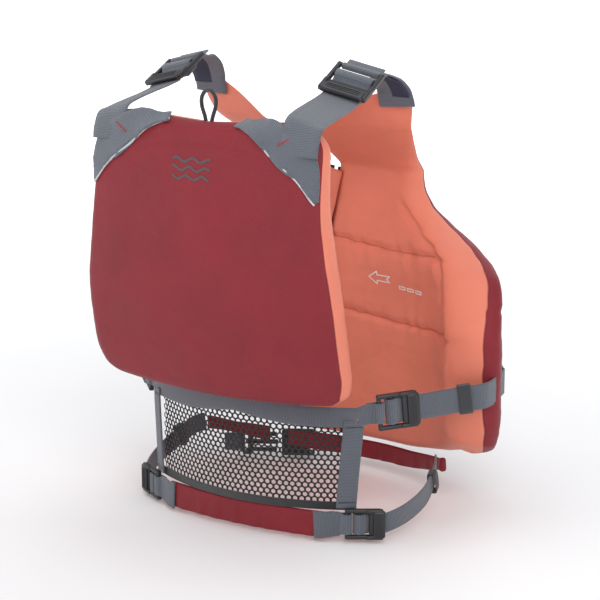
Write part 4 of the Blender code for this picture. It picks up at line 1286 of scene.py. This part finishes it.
for name, side in SIDES.items():
    places = [zip_place(z, side * 7.2, -0.5) for z in steps(ZIP_LOW, ZIP_HIGH, 60)]
    cloth = tape(f"zip_cloth_{name}", places, [zip_front] * 60, 11.0, black_cloth, thick=0.9)
    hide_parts(f"zip_tape_{name}")
    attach(cloth, f"front_{name}")
    tooth_builder = bmesh.new()
    rounded_box(tooth_builder, (-1.7, -1.25, -0.85), (1.7, 1.25, 0.85), 0.35, 2)
    tooth_data = bpy.data.meshes.new("tooth")
    tooth_builder.to_mesh(tooth_data)
    tooth_builder.free()
    tooth = bpy.data.objects.new("tooth", tooth_data)
    bpy.context.scene.collection.objects.link(tooth)
    count = int((ZIP_HIGH - ZIP_LOW) / TOOTH_PITCH)
    at = [(side * 1.2, 0, TOOTH_PITCH * (k + 0.25 * side) + 1) for k in range(count)]
    teeth = copied(f"zip_teeth_{name}", at, tooth, black_plastic)
    start = zip_place(ZIP_LOW, 0)
    for vert in teeth.data.vertices:
        x, y, z = vert.co
        vert.co = row(*(start + zip_across * x + zip_up * z - zip_front * y))
    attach(teeth, f"front_{name}")
    panel_tree = BVHTree.FromObject(panels[name], bpy.context.evaluated_depsgraph_get())
    lining_line, lining_normals = [], []
    for z in steps(FACING_FOOT, FACING_HEAD[name], 50):
        x = zip_x(z) + side * (ZIP_GAP + FACING_INSET + FACING / 2)
        place, normal = on_surface(panel_tree, x, 0, z, (0, -1, 0), 0.3)
        lining_line.append(place)
        lining_normals.append(Vector((normal.x * 0.6, 1, 0)))
    facing = tape(f"zip_facing_{name}_cloth", lining_line, lining_normals, FACING, band_cover, thick=1.1, cells=8)
    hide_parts(f"zip_facing_{name}")
    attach(facing, f"front_{name}")
    edges = []
    for across in (-0.42, 0.42):
        edges.append([p + Vector((FACING * across, 1.25, 0)) for p in lining_line])
    sewn(f"facing_stitching_{name}", edges, red_thread, f"front_{name}", step=3.0, length=2.1)
    if name == "right":
        for part, heights, cover in (("lower", (74, 224), band_cover), ("upper", (225, 330), pad_cover)):
            flap_line = []
            for z in steps(*heights, 40):
                place, normal = on_surface(panel_tree, zip_x(z) - 26, 0, z, (0, -1, 0), 0.3)
                flap_line.append(place + Vector((26, 0.6, 0)))
            flap = tape(f"zip_flap_{part}", flap_line, [Vector((0, 1, 0))] * 40, 34.0, cover, thick=1.4, cells=8)
            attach(flap, "front_right")

for node in ("zip_slider", "zip_pull"):
    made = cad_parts[node]
    made.data.materials.clear()
    made.data.materials.append(black_plastic)

# The buckle, the lash tab and the channels' stitches ----------------------------------------------
# A side-release buckle joins the hem in front. The right panel carries a two-slot tab for tools, held
# by webbing through its slots, and a plain arrow printed on the lining.

LASH = (-58.0, -149.0, 245.0)

for node in ("buckle_socket", "buckle_prongs", "lash_tab"):
    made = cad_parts[node]
    made.data.materials.clear()
    made.data.materials.append(black_plastic)
buckle_low, buckle_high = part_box("buckle_webbing")
buckle_tape_line = []
for k in steps(0, 1, 12):
    x = (buckle_low.x + (buckle_high.x - buckle_low.x) * k) / MM
    y = (buckle_low.y + (buckle_high.y - buckle_low.y) * k) / MM - SHIFT_Y
    buckle_tape_line.append(Vector((x, y, (buckle_low.z + buckle_high.z) / 2 / MM)))
buckle_tape = tape(
    "buckle_tape", buckle_tape_line, across_normals(buckle_tape_line, UP), BACK_WEB, grey_webbing, thick=1.5
)
finish_tape(buckle_tape, "front_left", "buckle_webbing")

right_tree = BVHTree.FromObject(panels["right"], bpy.context.evaluated_depsgraph_get())
for label, sign in (("upper", 1), ("lower", -1)):
    x, y, z = LASH
    foot, _ = on_surface(right_tree, x, -240, z + sign * 24, (0, 1, 0), 0.5)
    strip = [
        Vector((x, y - 2.6, z + sign * 1.5)),
        Vector((x, y - 2.2, z + sign * 6.5)),
        Vector((x, y + 2.4, z + sign * 9.0)),
        Vector((x, y + 3.2, z + sign * 14)),
        foot,
    ]
    places = curve_through(strip, 26)
    held = tape(f"lash_strip_{label}", places, [Vector((0, -1, 0.2 * sign))] * 26, 16.5, grey_webbing, thick=1.2)
    finish_tape(held, "front_right")

for name, side in SIDES.items():
    middle, outward = panel_surface(side)
    panel_tree = BVHTree.FromObject(panels[name], bpy.context.evaluated_depsgraph_get())
    rows = []
    for channel in CHANNELS:
        line = []
        for u in steps(0.07, 0.80, 110):
            z = channel
            for _ in range(2):
                here = middle(u, (z - PANEL_BOTTOM) / (PANEL_TIP - PANEL_BOTTOM))
                z = channel + 5 * math.sin(150 * math.atan2(here.x, -here.y) / 60)
            here = middle(u, (z - PANEL_BOTTOM) / (PANEL_TIP - PANEL_BOTTOM))
            out = outward(u, 0.5).normalized()
            line.append(on_surface(panel_tree, *(here - out * 70), out, 0.35)[0])
        rows.append(line)
    sewn(f"channel_stitching_{name}", rows, orange_thread, f"front_{name}", step=3.0, length=2.3, thick=0.5)

white_look = Finish("white_print")
white_wear = white_look.mottle(0.003, 4.0)
white_print = white_look.shade(white_look.mix(white_wear, (0.62, 0.56, 0.54), (0.85, 0.82, 0.80)), 0.5 + white_wear * 0.1)


def printed_lining(name, outline, centre, size):
    """A closed line printed on the right panel's lining."""
    places, normals = [], []
    for a, b in zip(outline, outline[1:]):
        for share in steps(0, 0.875, 8):
            x = centre[0] - size * (a[0] + (b[0] - a[0]) * share)
            z = centre[1] + size * (a[1] + (b[1] - a[1]) * share)
            place, normal = on_surface(right_tree, x, 0, z, (0, -1, 0), 0.12)
            places.append(place)
            normals.append(normal)
    made = tape(name, places + [places[0]], normals + [normals[0]], 1.3, white_print, thick=0.12, cells=1)
    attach(made, "front_right")


printed_lining("printed_arrow", ARROW, (-46, 221), 0.85)
for index in range(3):
    x = -72 - 12 * index
    printed_lining(f"printed_dash_{index}", ((0, -1.4), (9, -1.4), (9, 1.4), (0, 1.4), (0, -1.4)), (x, 215), 0.95)
